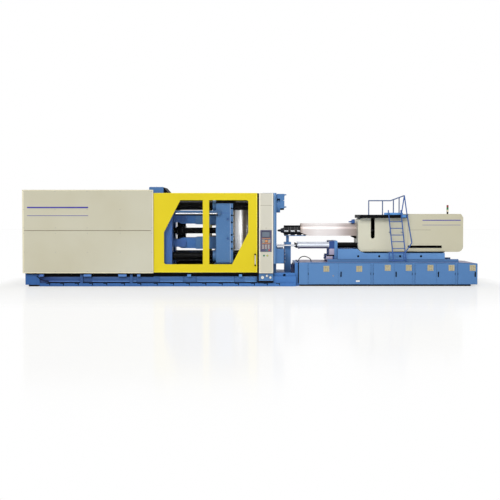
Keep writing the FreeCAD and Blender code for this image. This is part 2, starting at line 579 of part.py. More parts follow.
panes = [plate("y", "-door_face+door_thick+seat", "glass_thick",
               grown(points, 30)) for points in (PANE_LEFT, PANE_RIGHT)]
grip = rod("z", "door_right-handle_in", "-door_face-grip_reach", "handle_low+40", "grip_radius",
           "handle_high-handle_low-80")
grip_ends = [rod("y", "door_right-handle_in", "-door_face-grip_reach-17", z, "grip_radius+7",
                 "grip_reach+17.5")
             for z in ("handle_low+30", "handle_high-30")]
handle = fuse(grip, *grip_ends)
RAIL_Y0 = "-door_face+door_thick+20"
lower_rail = span("cover_left+cover_deep+120", "column_left-6", "-door_face+8", "-door_face+door_thick-8",
                  "door_low-70", "door_low-rail_drop")
upper_rail = span("cover_left+cover_deep+120", "column_left", "-frame_y-24", "-frame_y",
                  "door_top-95", "door_top-25")
keep("door_rails", group(both(group(lower_rail, upper_rail)), rail_blocks))
guide_shoe = [span(x, f"({x})+220", "-door_face+14", "-door_face+door_thick-14", "door_low-rail_drop+seat",
                   "door_low+1")
              for x in ("door_left+200", "door_right-420")]
keep("front_door", group(fuse(door_plate, handle, *guide_shoe), *panes))

# ---------------------------------------------------------------- control column
column_outer = span("column_left", "column_right", "-cover_face", "-column_back", "column_low", "column_top")
column_inner = span("column_left+column_wall", "column_right-column_wall", "-cover_face+column_wall",
                    "-column_back+1", "column_low+column_wall", "column_top-column_wall")
seam_groove = cut(span("column_left-1", "column_right+1", "-cover_face-1", "-column_back+2",
                       "column_seam-3", "column_seam+3"),
                  span("column_left+2", "column_right-2", "-cover_face+2", "-column_back+3",
                       "column_seam-4", "column_seam+4"))
button_spots = [("start_button", "483", "1153", "button_radius"), ("stop_button", "609", "1153",
                                                                   "button_radius")]
panel_spots = [("release_button", "583", "1353"), ("emergency_stop", "675", "1353")]
wells = [rod("y", x, "-cover_face-panel_out-1", z, "button_radius+1", "panel_out+column_wall+2")
         for label, x, z, *size in button_spots + panel_spots]
keep("control_column", cut(column_outer, column_inner, seam_groove, *wells))
panel = span("panel_left", "panel_right", "-cover_face-panel_out", "-cover_face", "panel_low_z",
             "panel_high_z")
panel_wells = [rod("y", x, "-cover_face-panel_out-1", z, "button_radius+1", "panel_out+2") for label, x,
               z in panel_spots]
recess = span("screen_left-bezel", "screen_right+bezel", "-cover_face-panel_out-1",
              "-cover_face-panel_out+bezel",
              "screen_low-bezel", "screen_high+bezel")
panel_plate = cut(panel, recess, *panel_wells)
screen = span("screen_left", "screen_right", "-cover_face-panel_out+1", "-cover_face-panel_out+bezel",
              "screen_low",
              "screen_high")
key_blocks = []
for x, width, low, high in ((420, 95, 1618, 1752), (630, 90, 1618, 1752), (420, 75, 1400, 1575),
                            (520, 75, 1400, 1575),
                            (625, 75, 1400, 1575)):
    key_blocks.append(span(x, x + width, "-cover_face-panel_out-4", "-cover_face-panel_out", low, high))
keep("control_panel", group(panel_plate, screen, *key_blocks))
for label, x, z, size in button_spots:
    keep(label, rod("y", x, "-cover_face-button_out", z, size, "button_out+column_wall"))
for label, x, z in panel_spots:
    keep(label, rod("y", x, "-cover_face-panel_out-button_out", z, "button_radius", "button_out+panel_out-6"))
gauge_case = span("column_left-3", "column_right+2", "-gauge_face", "-bed_outer", "gauge_low", "column_low")
gauges = [fuse(rod("y", x, "-gauge_face-gauge_deep", z, size, "gauge_deep"),
               rod("y", x, "-gauge_face-gauge_deep+8", z, f"{size}+6", 14))
          for x, z, size in ((428, 338, 58), (595, 398, 42), (721, 338, 42))]
keep("gauge_box", group(gauge_case, *gauges))

# ---------------------------------------------------------------- mould space: safety bar and rear shield
BAR_END = f"{MOVE_BACK}+60"
safety_seat = span(BAR_END, f"{BAR_END}+110", "-safety_y-40", "-platen_half", "safety_z-50", "safety_z+110")
safety_beam = fuse(safety_seat, span("safety_left", BAR_END, "-safety_y-30", "-safety_y+20", "safety_z+32",
                                     "safety_z+110"))
safety_rod = rod("x", "safety_left", "-safety_y", "safety_z", 30, f"{BAR_END}-(safety_left)")
keep("safety_bar", group(safety_beam, safety_rod))
shield = cut(rod("z", "shield_x", "shield_y+shield_round", "shield_low", "shield_round",
                 "shield_high-shield_low"),
             rod("z", "shield_x", "shield_y+shield_round", "shield_low-1", "shield_round-shield_wall",
                 "shield_high-shield_low+2"),
             span("shield_x-shield_round-1", "shield_x+shield_round+1", "door_face-door_thick-10",
                  "shield_y+2*shield_round+1", "shield_low-1", "shield_high+1"))
STRAP_Y = "door_face-door_thick-16"
blind = span("pane_a", "pane_d+30", STRAP_Y, f"{STRAP_Y}+strap_thick", "blind_low", "window_top+30")
straps = [fuse(span(x, f"{x}+40", STRAP_Y, f"{STRAP_Y}+strap_thick", "shield_high-120", "window_top+110"),
               span(x, f"{x}+40", STRAP_Y, "door_face-door_thick", "window_top+50", "window_top+110"))
          for x in ("shield_x-214", "shield_x+174")]
keep("rear_door", group(twin(parts["front_door"]), fuse(shield, *straps, blind)))

# ---------------------------------------------------------------- injection base
BASE_OUTLINE = [("base_left", "plinth_high"), ("half_length", "plinth_high"), ("half_length", "base_end_top"),
                ("base_slope_x", "base_top"), ("base_left", "base_top")]
BASE_INNER = [("base_left+base_wall", "plinth_high+base_wall"), ("half_length-base_wall",
                                                                 "plinth_high+base_wall"),
              ("half_length-base_wall", "base_end_top-base_wall"), ("base_slope_x", "base_top-base_wall"),
              ("base_left+base_wall", "base_top-base_wall")]
DOORS = [  # left and right edge, hinge side, louvre's left edge, louvre's lower edge, handle's place
    ("2142", "3263", "left", "2709", "543", None), ("3267", "4473", "right", "3936", "543", "3362"),
    ("4573", "5351", "left", "5002", "579", None), ("5355", "6020", "right", "5785", "579", "5420"),
    ("6132", "6921", "left", "6594", "579", None), ("6925", "7624", "right", "7381", "579", "6997"),
    ("7728", "8440", "left", "8170", "579", "8373"),
]
BAYS = [("2142", "4473"), ("4573", "6020"), ("6132", "7624"), ("7728", "8440")]
base_solid = plate("y", "-base_half", "2*base_half", BASE_OUTLINE)
base_hollow = plate("y", "-base_half+base_wall", "2*base_half-2*base_wall", BASE_INNER)
bay_cuts = [span(f"{left}+20", f"{right}-20", "-base_half-1", "-base_half+base_wall+1", "door_low_z+25",
                 "door_high_z-20")
            for left, right in BAYS]
posts = [span(x, f"{x}+{wide}", "-base_half+base_wall", "-base_half+90", "plinth_high+base_wall",
              "base_top-base_wall")
         for x, wide in (("2060", 70), ("4485", 76), ("6032", 88), ("7636", 80))]
plinth = span("base_left+20", "plinth_right", "-base_half+plinth_in", "base_half-plinth_in", 0, "plinth_high")
rail_bar = span("carriage_left-270", "rail_right", "-880", "-700", "base_top", "rail_high")
HOSE_ROUTE = [(1800, -800, 915.3), (1800, -800, 990), (1890, -800, 1075), (2013, -800, 1105),
              (2135, -800, 1070), (2262, -800, 990), (2262, -800, 915.3)]
glands = [rod("z", HOSE_ROUTE[end][0], HOSE_ROUTE[end][1], "base_top-1", "hose_radius+10",
              31) for end in (0, -1)]
keep("injection_base", group(fuse(cut(base_solid, base_hollow, *bay_cuts), *posts, both(rail_bar), *glands),
                             plinth))
keep("supply_hose", tube_path(HOSE_ROUTE, "hose_radius"))


def cabinet_door(left, right, hinge, louvre, louvre_low, grip_x):
    """A sheet door with a louvred vent and, on the leading door of each bay, a handle."""
    sheet_part = span(left, right, "-base_half-door_sheet", "-base_half-seat", "door_low_z", "door_high_z")
    vent = span(louvre, f"{louvre}+louvre_size", "-base_half-door_sheet-1", "-base_half+1", louvre_low,
                f"{louvre_low}+louvre_size")
    solids = []
    slat_pitch = "louvre_size/louvre_slats"
    slats = [span(f"{louvre}-1", f"{louvre}+louvre_size+1", "-base_half-door_sheet+3", "-base_half-3",
                  f"{louvre_low}+{step + 0.3}*{slat_pitch}", f"{louvre_low}+{step + 0.8}*{slat_pitch}")
             for step in range(int(value("louvre_slats")))]
    knuckles = [rod("z", left if hinge == "left" else right, "-base_half-door_sheet", f"door_low_z+{rise}",
                    "knuckle_radius", 80)
                for rise in (90, 350, 610)]
    solids.append(fuse(cut(sheet_part, vent), *slats, *knuckles))
    if grip_x:
        solids.append(span(f"{grip_x}-14", f"{grip_x}+14", "-base_half-door_sheet-26",
                           "-base_half-door_sheet", "swing_low",
                           "swing_high"))
    return group(*solids)


for number, (left, right, hinge, louvre, louvre_low, grip_x) in enumerate(DOORS, start=1):
    keep(f"cabinet_door_{number}", cabinet_door(left, right, hinge, louvre, louvre_low, grip_x))

FLOOR = "plinth_high+base_wall"
tank = softened(span("tank_left", "tank_right", "-base_half+260", "base_half-200", FLOOR, "tank_top"), 40,
                lambda edge: along(edge, "z"))
tank = fuse(tank, rod("z", "tank_left+200", "-base_half+420", "tank_top-1", 70, 61))
motors = []
for x in ("2900", "3700"):
    body = rod("x", x, "motor_y", "tank_top+motor_radius+7", "motor_radius", 380)
    feet = span(f"{x}+60", f"{x}+320", "motor_y-110", "motor_y+110", "tank_top", "tank_top+40")
    pump = rod("x", f"{x}-170", "motor_y", "tank_top+motor_radius+7", "motor_radius-40", 172)
    motors.append(fuse(body, feet, pump))
keep("hydraulic_pack", group(tank, *motors))
racks = [span(left, right, "-base_half+420", "-base_half+720", FLOOR, "base_top-base_wall-60")
         for left, right in (("4750", "5900"), ("6250", "7500"), ("7800", "8350"))]
keep("electric_racks", group(*racks))

# ---------------------------------------------------------------- carriage
CARRIAGE = [("carriage_left+carriage_plate-1", "rail_high+seat"), ("carriage_back", "rail_high+seat"),
            ("carriage_back", "carriage_top"), ("house_left+260", "carriage_top"),
            ("house_left+110", "carriage_top+40"), ("house_left+10", "carriage_top+110"),
            ("house_left-20", "carriage_high"), ("carriage_left+carriage_plate-1", "carriage_high")]
frame_body = plate("y", "-carriage_half", "2*carriage_half", CARRIAGE)
front_plate = span("carriage_left", "carriage_left+carriage_plate", -690, 690, "base_top+12", "plate_top")
windows = [rod("y", x, "-carriage_half-1", "porthole_z", "porthole_radius",
               "2*carriage_half+2") for x in ("4034", "4823", "5612",
                                                                                    "6397")]
INNER_RAIL = "house_low+120"
seat_rails = both(fuse(span("house_left+300", "carriage_back-20", "-600", "-520", "carriage_top-1",
                            INNER_RAIL),
                       span("house_left+300", "carriage_back-20", "-house_half+5", "-house_half+35",
                            "carriage_top-1", "house_low-seat")))
keep("carriage_frame", cut(fuse(frame_body, front_plate, seat_rails), *windows))
guide_rods = both(rod("x", "carriage_left+carriage_plate", "-guide_rod_y", "guide_rod_z", "guide_rod",
                      "house_left+500-carriage_left-carriage_plate"))
PEDESTAL = [("cylinder_right-60", "base_top+26"), ("carriage_left", "base_top+26"),
            ("carriage_left", "plate_top-9"),
            ("cylinder_right", "plate_top-9"), ("cylinder_right", "base_top+265"), ("cylinder_right-100",
                                                                                    "base_top+265"),
            ("cylinder_right-100", "base_top+215"), ("cylinder_right-80", "base_top+215"),
            ("cylinder_right-130", "base_top+75"), ("cylinder_right-60", "base_top+75")]
cylinder_tube = rod("x", "cylinder_left", "-cylinder_y", "cylinder_z", "ram_tube",
                    "cylinder_right-cylinder_left+1")
cylinder_ends = [rod("x", x, "-cylinder_y", "cylinder_z", "ram_collar",
                     "collar_long") for x in ("cylinder_left",
                                                                             "cylinder_right-60")]
pedestal = plate("y", "-cylinder_y-130", 260, PEDESTAL)
gland = [rod("x", "cylinder_left-91", "-cylinder_y", "cylinder_z", 92, 45),
         rod("x", "cylinder_left-47", "-cylinder_y", "cylinder_z", 52, 48)]
rod_bore = rod("x", "cylinder_left-92", "-cylinder_y", "cylinder_z", "ram_radius+2",
               "cylinder_right-cylinder_left+46")
keep("carriage_cylinders", group(both(cut(fuse(cylinder_tube, *cylinder_ends, *gland, pedestal), rod_bore)),
                                 guide_rods))
pull_rod = fuse(rod("x", FIXED_BACK, "-cylinder_y", "cylinder_z", "ram_radius",
                    f"cylinder_right-629-({FIXED_BACK})"),
                rod("x", FIXED_BACK, "-cylinder_y", "cylinder_z", 75, 40))
keep("carriage_pull_rods", both(pull_rod))

# portal that steadies the barrel
leg = span("stand_left", "stand_right", "-stand_y-80", "-stand_y+80", "way_top", "stand_top")
beam_cap = span("stand_left-10", "stand_right+10", "-stand_y-90", "stand_y+90", "stand_top", "stand_top+76")
post = span("stand_left+66", "stand_right-61", -60, 60, "stand_top+76", "saddle_z")
saddle = span("stand_left", "stand_left+810", -150, 150, "saddle_z", "saddle_z+24")
keep("barrel_stand", fuse(leg, twin(leg), beam_cap, post, saddle))

# ---------------------------------------------------------------- injection housing
HOUSE = [("house_left", "house_low"), ("house_right", "house_low"), ("house_right", "house_top-130"),
         ("house_right-85", "house_top"), ("house_step", "house_top"), ("house_step", "house_front_top"),
         ("house_left", "house_front_top")]


def house_corner(edge):
    """The long edges along Y at the lower corners and the front's top corner."""
    spot = edge.CenterOfMass
    low_corner = spot.z < value("house_low") + 20
    front_corner = spot.x < value("house_left") + 20
    return along(edge, "y") and (low_corner or front_corner)


house_block = softened(plate("y", "-house_half", "2*house_half", HOUSE), "house_round", house_corner)
HOUSE_INNER = [("house_left+house_skin", "house_low+house_skin"), ("house_right-house_skin",
                                                                   "house_low+house_skin"),
               ("house_right-house_skin", "house_top-133"), ("house_right-88", "house_top-house_skin"),
               ("house_step+house_skin", "house_top-house_skin"),
               ("house_step+house_skin", "house_front_top-house_skin"),
               ("house_left+house_skin", "house_front_top-house_skin")]
house_hollow = softened(plate("y", "-house_half+house_skin", "2*house_half-2*house_skin", HOUSE_INNER),
                        "house_round-house_skin", house_corner)
chute_slot = [span("throat_x-chute_half", "throat_x+chute_half", "-house_half-1", "-house_half+260", "chute_low",
                   "house_front_top+1"),
              rod("y", "throat_x", "-house_half-1", "chute_low", "chute_half", 261)]
pointer_slot = span("house_step-10", "scale_right", "-house_half-1", "-house_half+house_skin+1", "scale_low",
                    "scale_high")
nose = rod("x", "house_left-1", 0, "center_z", "barrel_radius+12", "house_skin+2")
foot_gap = span("house_left+240", "carriage_back-10", "-house_half+40", "house_half-40", "house_low-1",
                "house_low+house_skin+1")
rod_gaps = [rod("x", "house_left-1", f"{side}guide_rod_y", "guide_rod_z", "guide_rod+8",
                "house_skin+202") for side in ("-", "")]
housing_shell = cut(house_block, house_hollow, *chute_slot, pointer_slot, nose, foot_gap, *rod_gaps)

# ---------------------------------------------------------------- plasticising unit
thrust_block = cut(span("barrel_back-500", "barrel_back", "-unit_half", "unit_half", f"{INNER_RAIL}+seat",
                        "center_z+420"),
                   rod("x", "barrel_back-501", 0, "center_z", "barrel_radius", 502))
bore = rod("x", "barrel_front-1", 0, "center_z", "screw_radius+seat", "barrel_back-barrel_front+2")
throat_hole = rod("z", "throat_x", 0, "center_z", "throat_radius", "barrel_radius+1")
keep("barrel", cut(rod("x", "barrel_front", 0, "center_z", "barrel_radius", "barrel_back-barrel_front"), bore,
                   throat_hole))
head_cone = taper("x", "nozzle_tip+123", 0, "center_z", 80, "barrel_radius-20", "barrel_front-nozzle_tip-123")
nozzle_body = fuse(head_cone, rod("x", "nozzle_tip+40", 0, "center_z", 42, 84),
                   taper("x", "nozzle_tip", 0, "center_z", 18, 42, 40))
keep("nozzle", cut(nozzle_body, rod("x", "nozzle_tip-1", 0, "center_z", 8, "barrel_front-nozzle_tip+2")))
BANDS = 11
bands = []
for step in range(BANDS):
    x = f"barrel_front+8+{step}*(band_long+band_gap)"
    bands.append(cut(rod("x", x, 0, "center_z", "barrel_radius+band_thick", "band_long"),
                     rod("x", f"({x})-1", 0, "center_z", "barrel_radius", "band_long+2")))
keep("heater_bands", group(*bands))
SCREW_FRONT = "barrel_front+70"
DRIVE_BACK = "drive_left+drive_thick"
keep("screw", fuse(taper("x", SCREW_FRONT, 0, "center_z", 10, "screw_core", 120),
                   rod("x", f"{SCREW_FRONT}+120", 0, "center_z", "screw_core",
                       f"{DRIVE_BACK}-5-({SCREW_FRONT})-120"),
                   rod("x", "barrel_back-400", 0, "center_z", "screw_radius", "drive_left-barrel_back+320")))
drive_plate = span("drive_left", DRIVE_BACK, "-unit_half", "unit_half", f"{INNER_RAIL}+seat", "center_z+420")
pointer = span("drive_left+40", "drive_left+72", "-house_half-22", "-unit_half+71", "scale_low+7",
               "scale_high-7")
keep("drive_plate", cut(fuse(drive_plate, pointer),
                        rod("x", "drive_left-1", 0, "center_z", "screw_core+seat", "drive_thick+2")))
keep("screw_motor", fuse(rod("x", DRIVE_BACK, 0, "center_z", 260, 420), rod("x", f"{DRIVE_BACK}+420", 0,
                                                                            "center_z", 190, 120)))
injection_cylinders = [rod("x", "barrel_back", y, "center_z", 110,
                           "drive_left-barrel_back-180") for y in ("-330", "330")]
keep("thrust_block", fuse(thrust_block, *injection_cylinders))

cover_outer = fuse(rod("x", "barrel_cover_left", 0, "barrel_cover_top-barrel_cover_half", "barrel_cover_half",
                       "house_left-barrel_cover_left-2"),
                   span("barrel_cover_left", "house_left-2", "-barrel_cover_half", "barrel_cover_half",
                        "barrel_cover_low", "barrel_cover_top-barrel_cover_half"))
cover_inner = fuse(rod("x", "barrel_cover_left-1", 0, "barrel_cover_top-barrel_cover_half",
                       "barrel_cover_half-4",
                       "house_left-barrel_cover_left"),
                   span("barrel_cover_left-1", "house_left-1", "-barrel_cover_half+4", "barrel_cover_half-4",
                        "barrel_cover_low-260", "barrel_cover_top-barrel_cover_half"))
corner = plate("y", "-barrel_cover_half-1", "2*barrel_cover_half+2", [
    ("barrel_cover_left-1", "barrel_cover_low-1"), ("barrel_cover_left+325", "barrel_cover_low-1"),
    ("barrel_cover_left-1", "barrel_cover_low+123")])
cover_sheet = cut(cover_outer, cover_inner, corner)
hangers = [span(x, f"{x}+40", "barrel_radius-6", "barrel_cover_half-4", "center_z-20", "center_z+20")
           for x in ("barrel_front+8+4*(band_long+band_gap)-55", "barrel_front+8+9*(band_long+band_gap)-55")]
hangers = [cut(item, rod("x", "barrel_front", 0, "center_z", "barrel_radius", 3000)) for item in hangers]
keep("barrel_cover", fuse(cover_sheet, both(group(*hangers))))
TUBE_FOOT = "center_z+barrel_radius-20"
hopper_tube = cut(rod("z", "throat_x", 0, TUBE_FOOT, "throat_radius+12",
                      f"house_front_top-house_skin-1-({TUBE_FOOT})"),
                  rod("z", "throat_x", 0, f"{TUBE_FOOT}-10", "throat_radius", 700),
                  rod("x", "throat_x-200", 0, "center_z", "barrel_radius", 400))
keep("injection_housing", group(housing_shell, hopper_tube))

# ---------------------------------------------------------------- platform, railing and ladder
DECK = "house_front_top+deck_thick"
deck_plate = span("deck_x", "deck_end", "-house_half-deck_over", "house_half", "house_front_top+seat", DECK)
deck_cut = span("deck_x+30", "deck_end-30", "-house_half-deck_over+30", "house_half-30", "house_front_top+1",
                f"{DECK}-60")
feed_gap = span("throat_x-150", "throat_x+150", "-260", "260", "house_front_top", f"{DECK}+1")
deck = cut(deck_plate, deck_cut, feed_gap)


def pipe(points):
    """Round railing tube with ball corners through points in one upright plane."""
    pieces = []
    for (x0, y0, z0), (x1, y1, z1) in zip(points, points[1:]):
        start = FreeCAD.Vector(value(x0), value(y0), value(z0))
        stop = FreeCAD.Vector(value(x1), value(y1), value(z1))
        bar = fresh("Part::Cylinder", "Tube")
        bind(bar, Radius="tube_radius", Height=str((stop - start).Length))
        bar.Placement = FreeCAD.Placement(start, FreeCAD.Rotation(FreeCAD.Vector(0, 0, 1), stop - start))
        pieces.append(bar)
    for x, y, z in points[1:-1]:
        ball = fresh("Part::Sphere", "Bend")
        bind(ball, Radius="tube_radius", x=x, y=y, z=z)
        pieces.append(ball)
    return fuse(*pieces)


RAIL_Y = "-house_half-deck_over+25"
LADDER_Y = "-ladder_y"
SLOPE_Z = "rail_top+({x}-rail_bend)*(hand_top-rail_top)/(rail_end-rail_bend)"


def railing(y, stretch):
    """Railing that climbs to the ladder's grab rail; stretch moves and lengthens it."""
    def spot(x, z):
        return f"({x})*{stretch}", y, f"{DECK}+({z}-({DECK}))*{stretch}"

    run = pipe([spot("rail_start", DECK), spot("rail_start", "rail_top"), spot("rail_bend", "rail_top"),
                spot("rail_end", "hand_top")])
    uprights = [pipe([spot(x, DECK), spot(x, top)]) for x, top in (
        ("4925", "rail_top"), ("5333", SLOPE_Z.format(x=5333)), ("5546", SLOPE_Z.format(x=5546)))]
    return fuse(run, *uprights)


keep("platform", fuse(deck, railing(RAIL_Y, 1), railing("house_half-40", "rear_stretch")))

LEAN = "(ladder_foot-ladder_left)/(ladder_top-base_top-tube_radius)"
stiles = [pipe([(f"ladder_left+{step}", LADDER_Y, "ladder_top"), (f"ladder_foot+{step}", LADDER_Y,
                                                                  "base_top+tube_radius")])
          for step in (0, 467)]
rungs = []
for step in range(5):
    z = f"(rung_low+{step}*rung_pitch)"
    rungs.append(rod("x", f"ladder_foot-({z}-base_top-tube_radius)*{LEAN}", LADDER_Y, z, "rung_radius", 466))
hand_rail = pipe([("5612", LADDER_Y, "2680"), ("rail_end", LADDER_Y, "hand_top"), ("5808", LADDER_Y, "2778"),
                  ("6009", LADDER_Y, "1614"), ("5761", LADDER_Y, "1244")])
hoop = pipe([("hoop_left+270", LADDER_Y, "hoop_low"), ("hoop_left", LADDER_Y, "hoop_low"),
             ("hoop_left", LADDER_Y, "hoop_high"), ("hoop_right", LADDER_Y, "hoop_high"),
             ("hoop_right", LADDER_Y, "hoop_low"), ("hoop_left+270", LADDER_Y, "hoop_low")])
hooks = [rod("y", x, LADDER_Y, 2640, "rung_radius", "ladder_y-house_half-deck_over") for x in ("5146",
                                                                                               "5616")]
stays = [rod("y", x, LADDER_Y, 2010, "rung_radius", "ladder_y-house_half-seat") for x in ("5214", "5681")]
keep("ladder", fuse(*stiles, *rungs, hand_rail, hoop, *hooks, *stays))
beacon_base = rod("z", "beacon_x", -300, "house_top", 34, 72)
beacon_lamps = [rod("z", "beacon_x", -300, f"house_top+72+{step}*88", 40 - step, 88) for step in range(3)]
keep("beacon", group(beacon_base, *beacon_lamps))

# ---------------------------------------------------------------- grease pump, cable on the bed's end block
CABLE_ROUTE = [(-7964, -1350.3, 387), (-7964, -1390, 387), (-7900, -1398, 330), (-7800, -1392, 262),
               (-7700, -1380, 222), (-7610, -1372, 204), (-7556, -1352, 200), (-7556, -1290.3, 200)]
keep("bed_cable", tube_path(CABLE_ROUTE, "cable_radius"))
keep("grease_pump", fuse(span("pump_x-70", "pump_x+70", "pump_y-80", "pump_y+80", "way_top", "way_top+150"),
                         rod("z", "pump_x", "pump_y", "way_top+149", 66, 185),
                         rod("z", "pump_x", "pump_y", "way_top+333", 26, 42)))


# ---------------------------------------------------------------- checks and files
doc.recompute()
for item in doc.Objects:
    assert "Invalid" not in item.State and "Error" not in item.State, f"{item.Label}: {item.State}"
os.makedirs("parts", exist_ok=True)
for name, item in parts.items():
    assert not item.Shape.isNull() and item.Shape.isValid(), name
    item.Shape.exportStep(f"parts/{name}.step")
print(len(parts), "sub-parts")
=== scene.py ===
"""Horizontal toggle-clamp injection moulding machine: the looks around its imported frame.

The sections follow the machine as it is put together: bed, platens and toggle, covers and
doors, operator's column, injection base, carriage, barrel, housing, platform and ladder.
"""

import json
import math

import bmesh
import bpy
from mathutils import Matrix, Vector


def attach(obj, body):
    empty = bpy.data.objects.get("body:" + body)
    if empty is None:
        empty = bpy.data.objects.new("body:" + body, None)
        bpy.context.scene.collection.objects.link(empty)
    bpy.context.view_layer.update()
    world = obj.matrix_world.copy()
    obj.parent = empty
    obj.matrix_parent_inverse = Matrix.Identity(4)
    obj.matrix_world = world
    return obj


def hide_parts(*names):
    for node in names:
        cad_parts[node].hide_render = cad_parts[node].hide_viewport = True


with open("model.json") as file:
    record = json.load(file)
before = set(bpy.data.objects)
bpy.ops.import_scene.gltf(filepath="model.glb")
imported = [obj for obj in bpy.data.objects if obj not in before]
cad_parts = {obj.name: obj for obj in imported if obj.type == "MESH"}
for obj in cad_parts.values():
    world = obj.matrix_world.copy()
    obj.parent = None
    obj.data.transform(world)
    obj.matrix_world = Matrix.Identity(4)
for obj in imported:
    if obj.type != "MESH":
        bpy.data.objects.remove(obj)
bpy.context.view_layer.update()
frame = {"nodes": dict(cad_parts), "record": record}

# ---------------------------------------------------------------- camera
# The photograph is a long view, square on to the operator's side, from eye level on a gallery.
# A pixel covers 37 mm at the near covers, 38.5 m from the lens.
EYE = Vector((-0.035, -40.0, 2.7))
AIM = Vector((-0.035, -1.5, 1.3606))
camera_data = bpy.data.cameras.new("long_view")
camera_data.sensor_width = 36.0
camera_data.lens = 74.92
camera_data.clip_end = 300.0
camera = bpy.data.objects.new("long_view", camera_data)
camera.location = EYE
camera.rotation_euler = (AIM - EYE).to_track_quat("-Z", "Y").to_euler()
bpy.context.scene.collection.objects.link(camera)
bpy.context.scene.camera = camera
bpy.context.scene.view_settings.view_transform = "Standard"

# ---------------------------------------------------------------- floor and studio light
# A pale sprayed studio floor that runs into a white backdrop, lit by wide soft suns and by the
# white room. It shows a faint dull reflection of the machine, which fades out to the front, and
# turns plain white in front of, behind and beside the machine.
ROOM_LIGHT = 0.45
FLOOR_GLOSS = 0.10
FRONT_FADE, REAR_FADE, SIDE_FADE = (-2.0, -10.5), (1.5, 4.0), (8.2, 10.0)
WHITE_AT_FRONT = 0.55


def linear(hex_colour):
    """The linear colour of an sRGB hex value."""
    parts = [int(hex_colour[i:i + 2], 16) / 255 for i in (1, 3, 5)]
    return [c / 12.92 if c <= 0.04045 else ((c + 0.055) / 1.055) ** 2.4 for c in parts] + [1.0]


def add(tree, kind, inputs=None, **settings):
    """A new node with its settings; an input is a number, a colour or the socket that feeds it."""
    made = tree.nodes.new(f"ShaderNode{kind}")
    for name, setting in settings.items():
        setattr(made, name, setting)
    for name, given in (inputs or {}).items():
        socket = made.inputs[name]
        if isinstance(given, bpy.types.NodeSocket):
            tree.links.new(given, socket)
        else:
            socket.default_value = given
    return made


def seen_white(tree):
    """1 for rays of the camera, of gloss and of glass, which all meet the white room."""
    ray = add(tree, "LightPath")
    gloss = add(tree, "Math", {0: ray.outputs["Is Camera Ray"], 1: ray.outputs["Is Glossy Ray"]},
                operation="MAXIMUM")
    return add(tree, "Math", {0: gloss.outputs[0], 1: ray.outputs["Is Transmission Ray"]},
               operation="MAXIMUM").outputs[0]


room = bpy.data.worlds.new("white_room")
room.use_nodes = True
room_tree = room.node_tree
room_tree.nodes.clear()
dim = add(room_tree, "Background", {"Color": linear("#ffffff"), "Strength": ROOM_LIGHT})
bright = add(room_tree, "Background", {"Color": linear("#ffffff"), "Strength": 1.0})
blend = add(room_tree, "MixShader", {0: seen_white(room_tree), 1: dim.outputs[0], 2: bright.outputs[0]})
add(room_tree, "OutputWorld", {"Surface": blend.outputs[0]})
bpy.context.scene.world = room

for label, aim, strength, softness in (("key_sun", (0.26, 0.80, -0.50), 1.32, 22),
                                       ("fill_sun", (-0.40, 0.62, -0.36), 0.52, 40),
                                       ("top_sun", (0.1, -0.45, -0.9), 0.36, 40)):
    sun_data = bpy.data.lights.new(label, "SUN")
    sun_data.energy = strength
    sun_data.angle = math.radians(softness)
    sun = bpy.data.objects.new(label, sun_data)
    sun.rotation_euler = Vector(aim).to_track_quat("-Z", "Y").to_euler()
    bpy.context.scene.collection.objects.link(sun)

floor_paint = bpy.data.materials.new("sprayed_studio_floor")
floor_paint.use_nodes = True
floor_tree = floor_paint.node_tree
floor_tree.nodes.clear()
matt = add(floor_tree, "BsdfDiffuse", {"Color": linear("#f4f4f2")})
glow = add(floor_tree, "Emission", {"Color": linear("#ffffff"), "Strength": 1.0})
dull = add(floor_tree, "BsdfGlossy", {"Color": linear("#ffffff"), "Roughness": 0.12})
ground = add(floor_tree, "SeparateXYZ", {0: add(floor_tree, "TexCoord").outputs["Object"]})
ahead = add(floor_tree, "MapRange",
            {"Value": ground.outputs["Y"], "From Min": FRONT_FADE[0], "From Max": FRONT_FADE[1],
             "To Min": WHITE_AT_FRONT, "To Max": 1.0})
behind = add(floor_tree, "MapRange",
             {"Value": ground.outputs["Y"], "From Min": REAR_FADE[0], "From Max": REAR_FADE[1]})
beside = add(floor_tree, "Math", {0: ground.outputs["X"]}, operation="ABSOLUTE")
beside = add(floor_tree, "MapRange",
             {"Value": beside.outputs[0], "From Min": SIDE_FADE[0], "From Max": SIDE_FADE[1]})
away = add(floor_tree, "Math", {0: behind.outputs[0], 1: beside.outputs[0]}, operation="MAXIMUM")
away = add(floor_tree, "Math", {0: ahead.outputs[0], 1: away.outputs[0]}, operation="MAXIMUM")
lit = add(floor_tree, "MixShader", {0: away.outputs[0], 1: matt.outputs[0], 2: glow.outputs[0]})
wet = add(floor_tree, "MixShader", {0: FLOOR_GLOSS, 1: lit.outputs[0], 2: dull.outputs[0]})
choice = add(floor_tree, "MixShader", {0: seen_white(floor_tree), 1: matt.outputs[0], 2: wet.outputs[0]})
add(floor_tree, "OutputMaterial", {"Surface": choice.outputs[0]})
floor_mesh = bmesh.new()
bmesh.ops.create_grid(floor_mesh, x_segments=1, y_segments=1, size=150.0)
floor_data = bpy.data.meshes.new("studio_floor")
floor_mesh.to_mesh(floor_data)
floor_mesh.free()
floor_data.materials.append(floor_paint)
floor = bpy.data.objects.new("studio_floor", floor_data)
bpy.context.scene.collection.objects.link(floor)
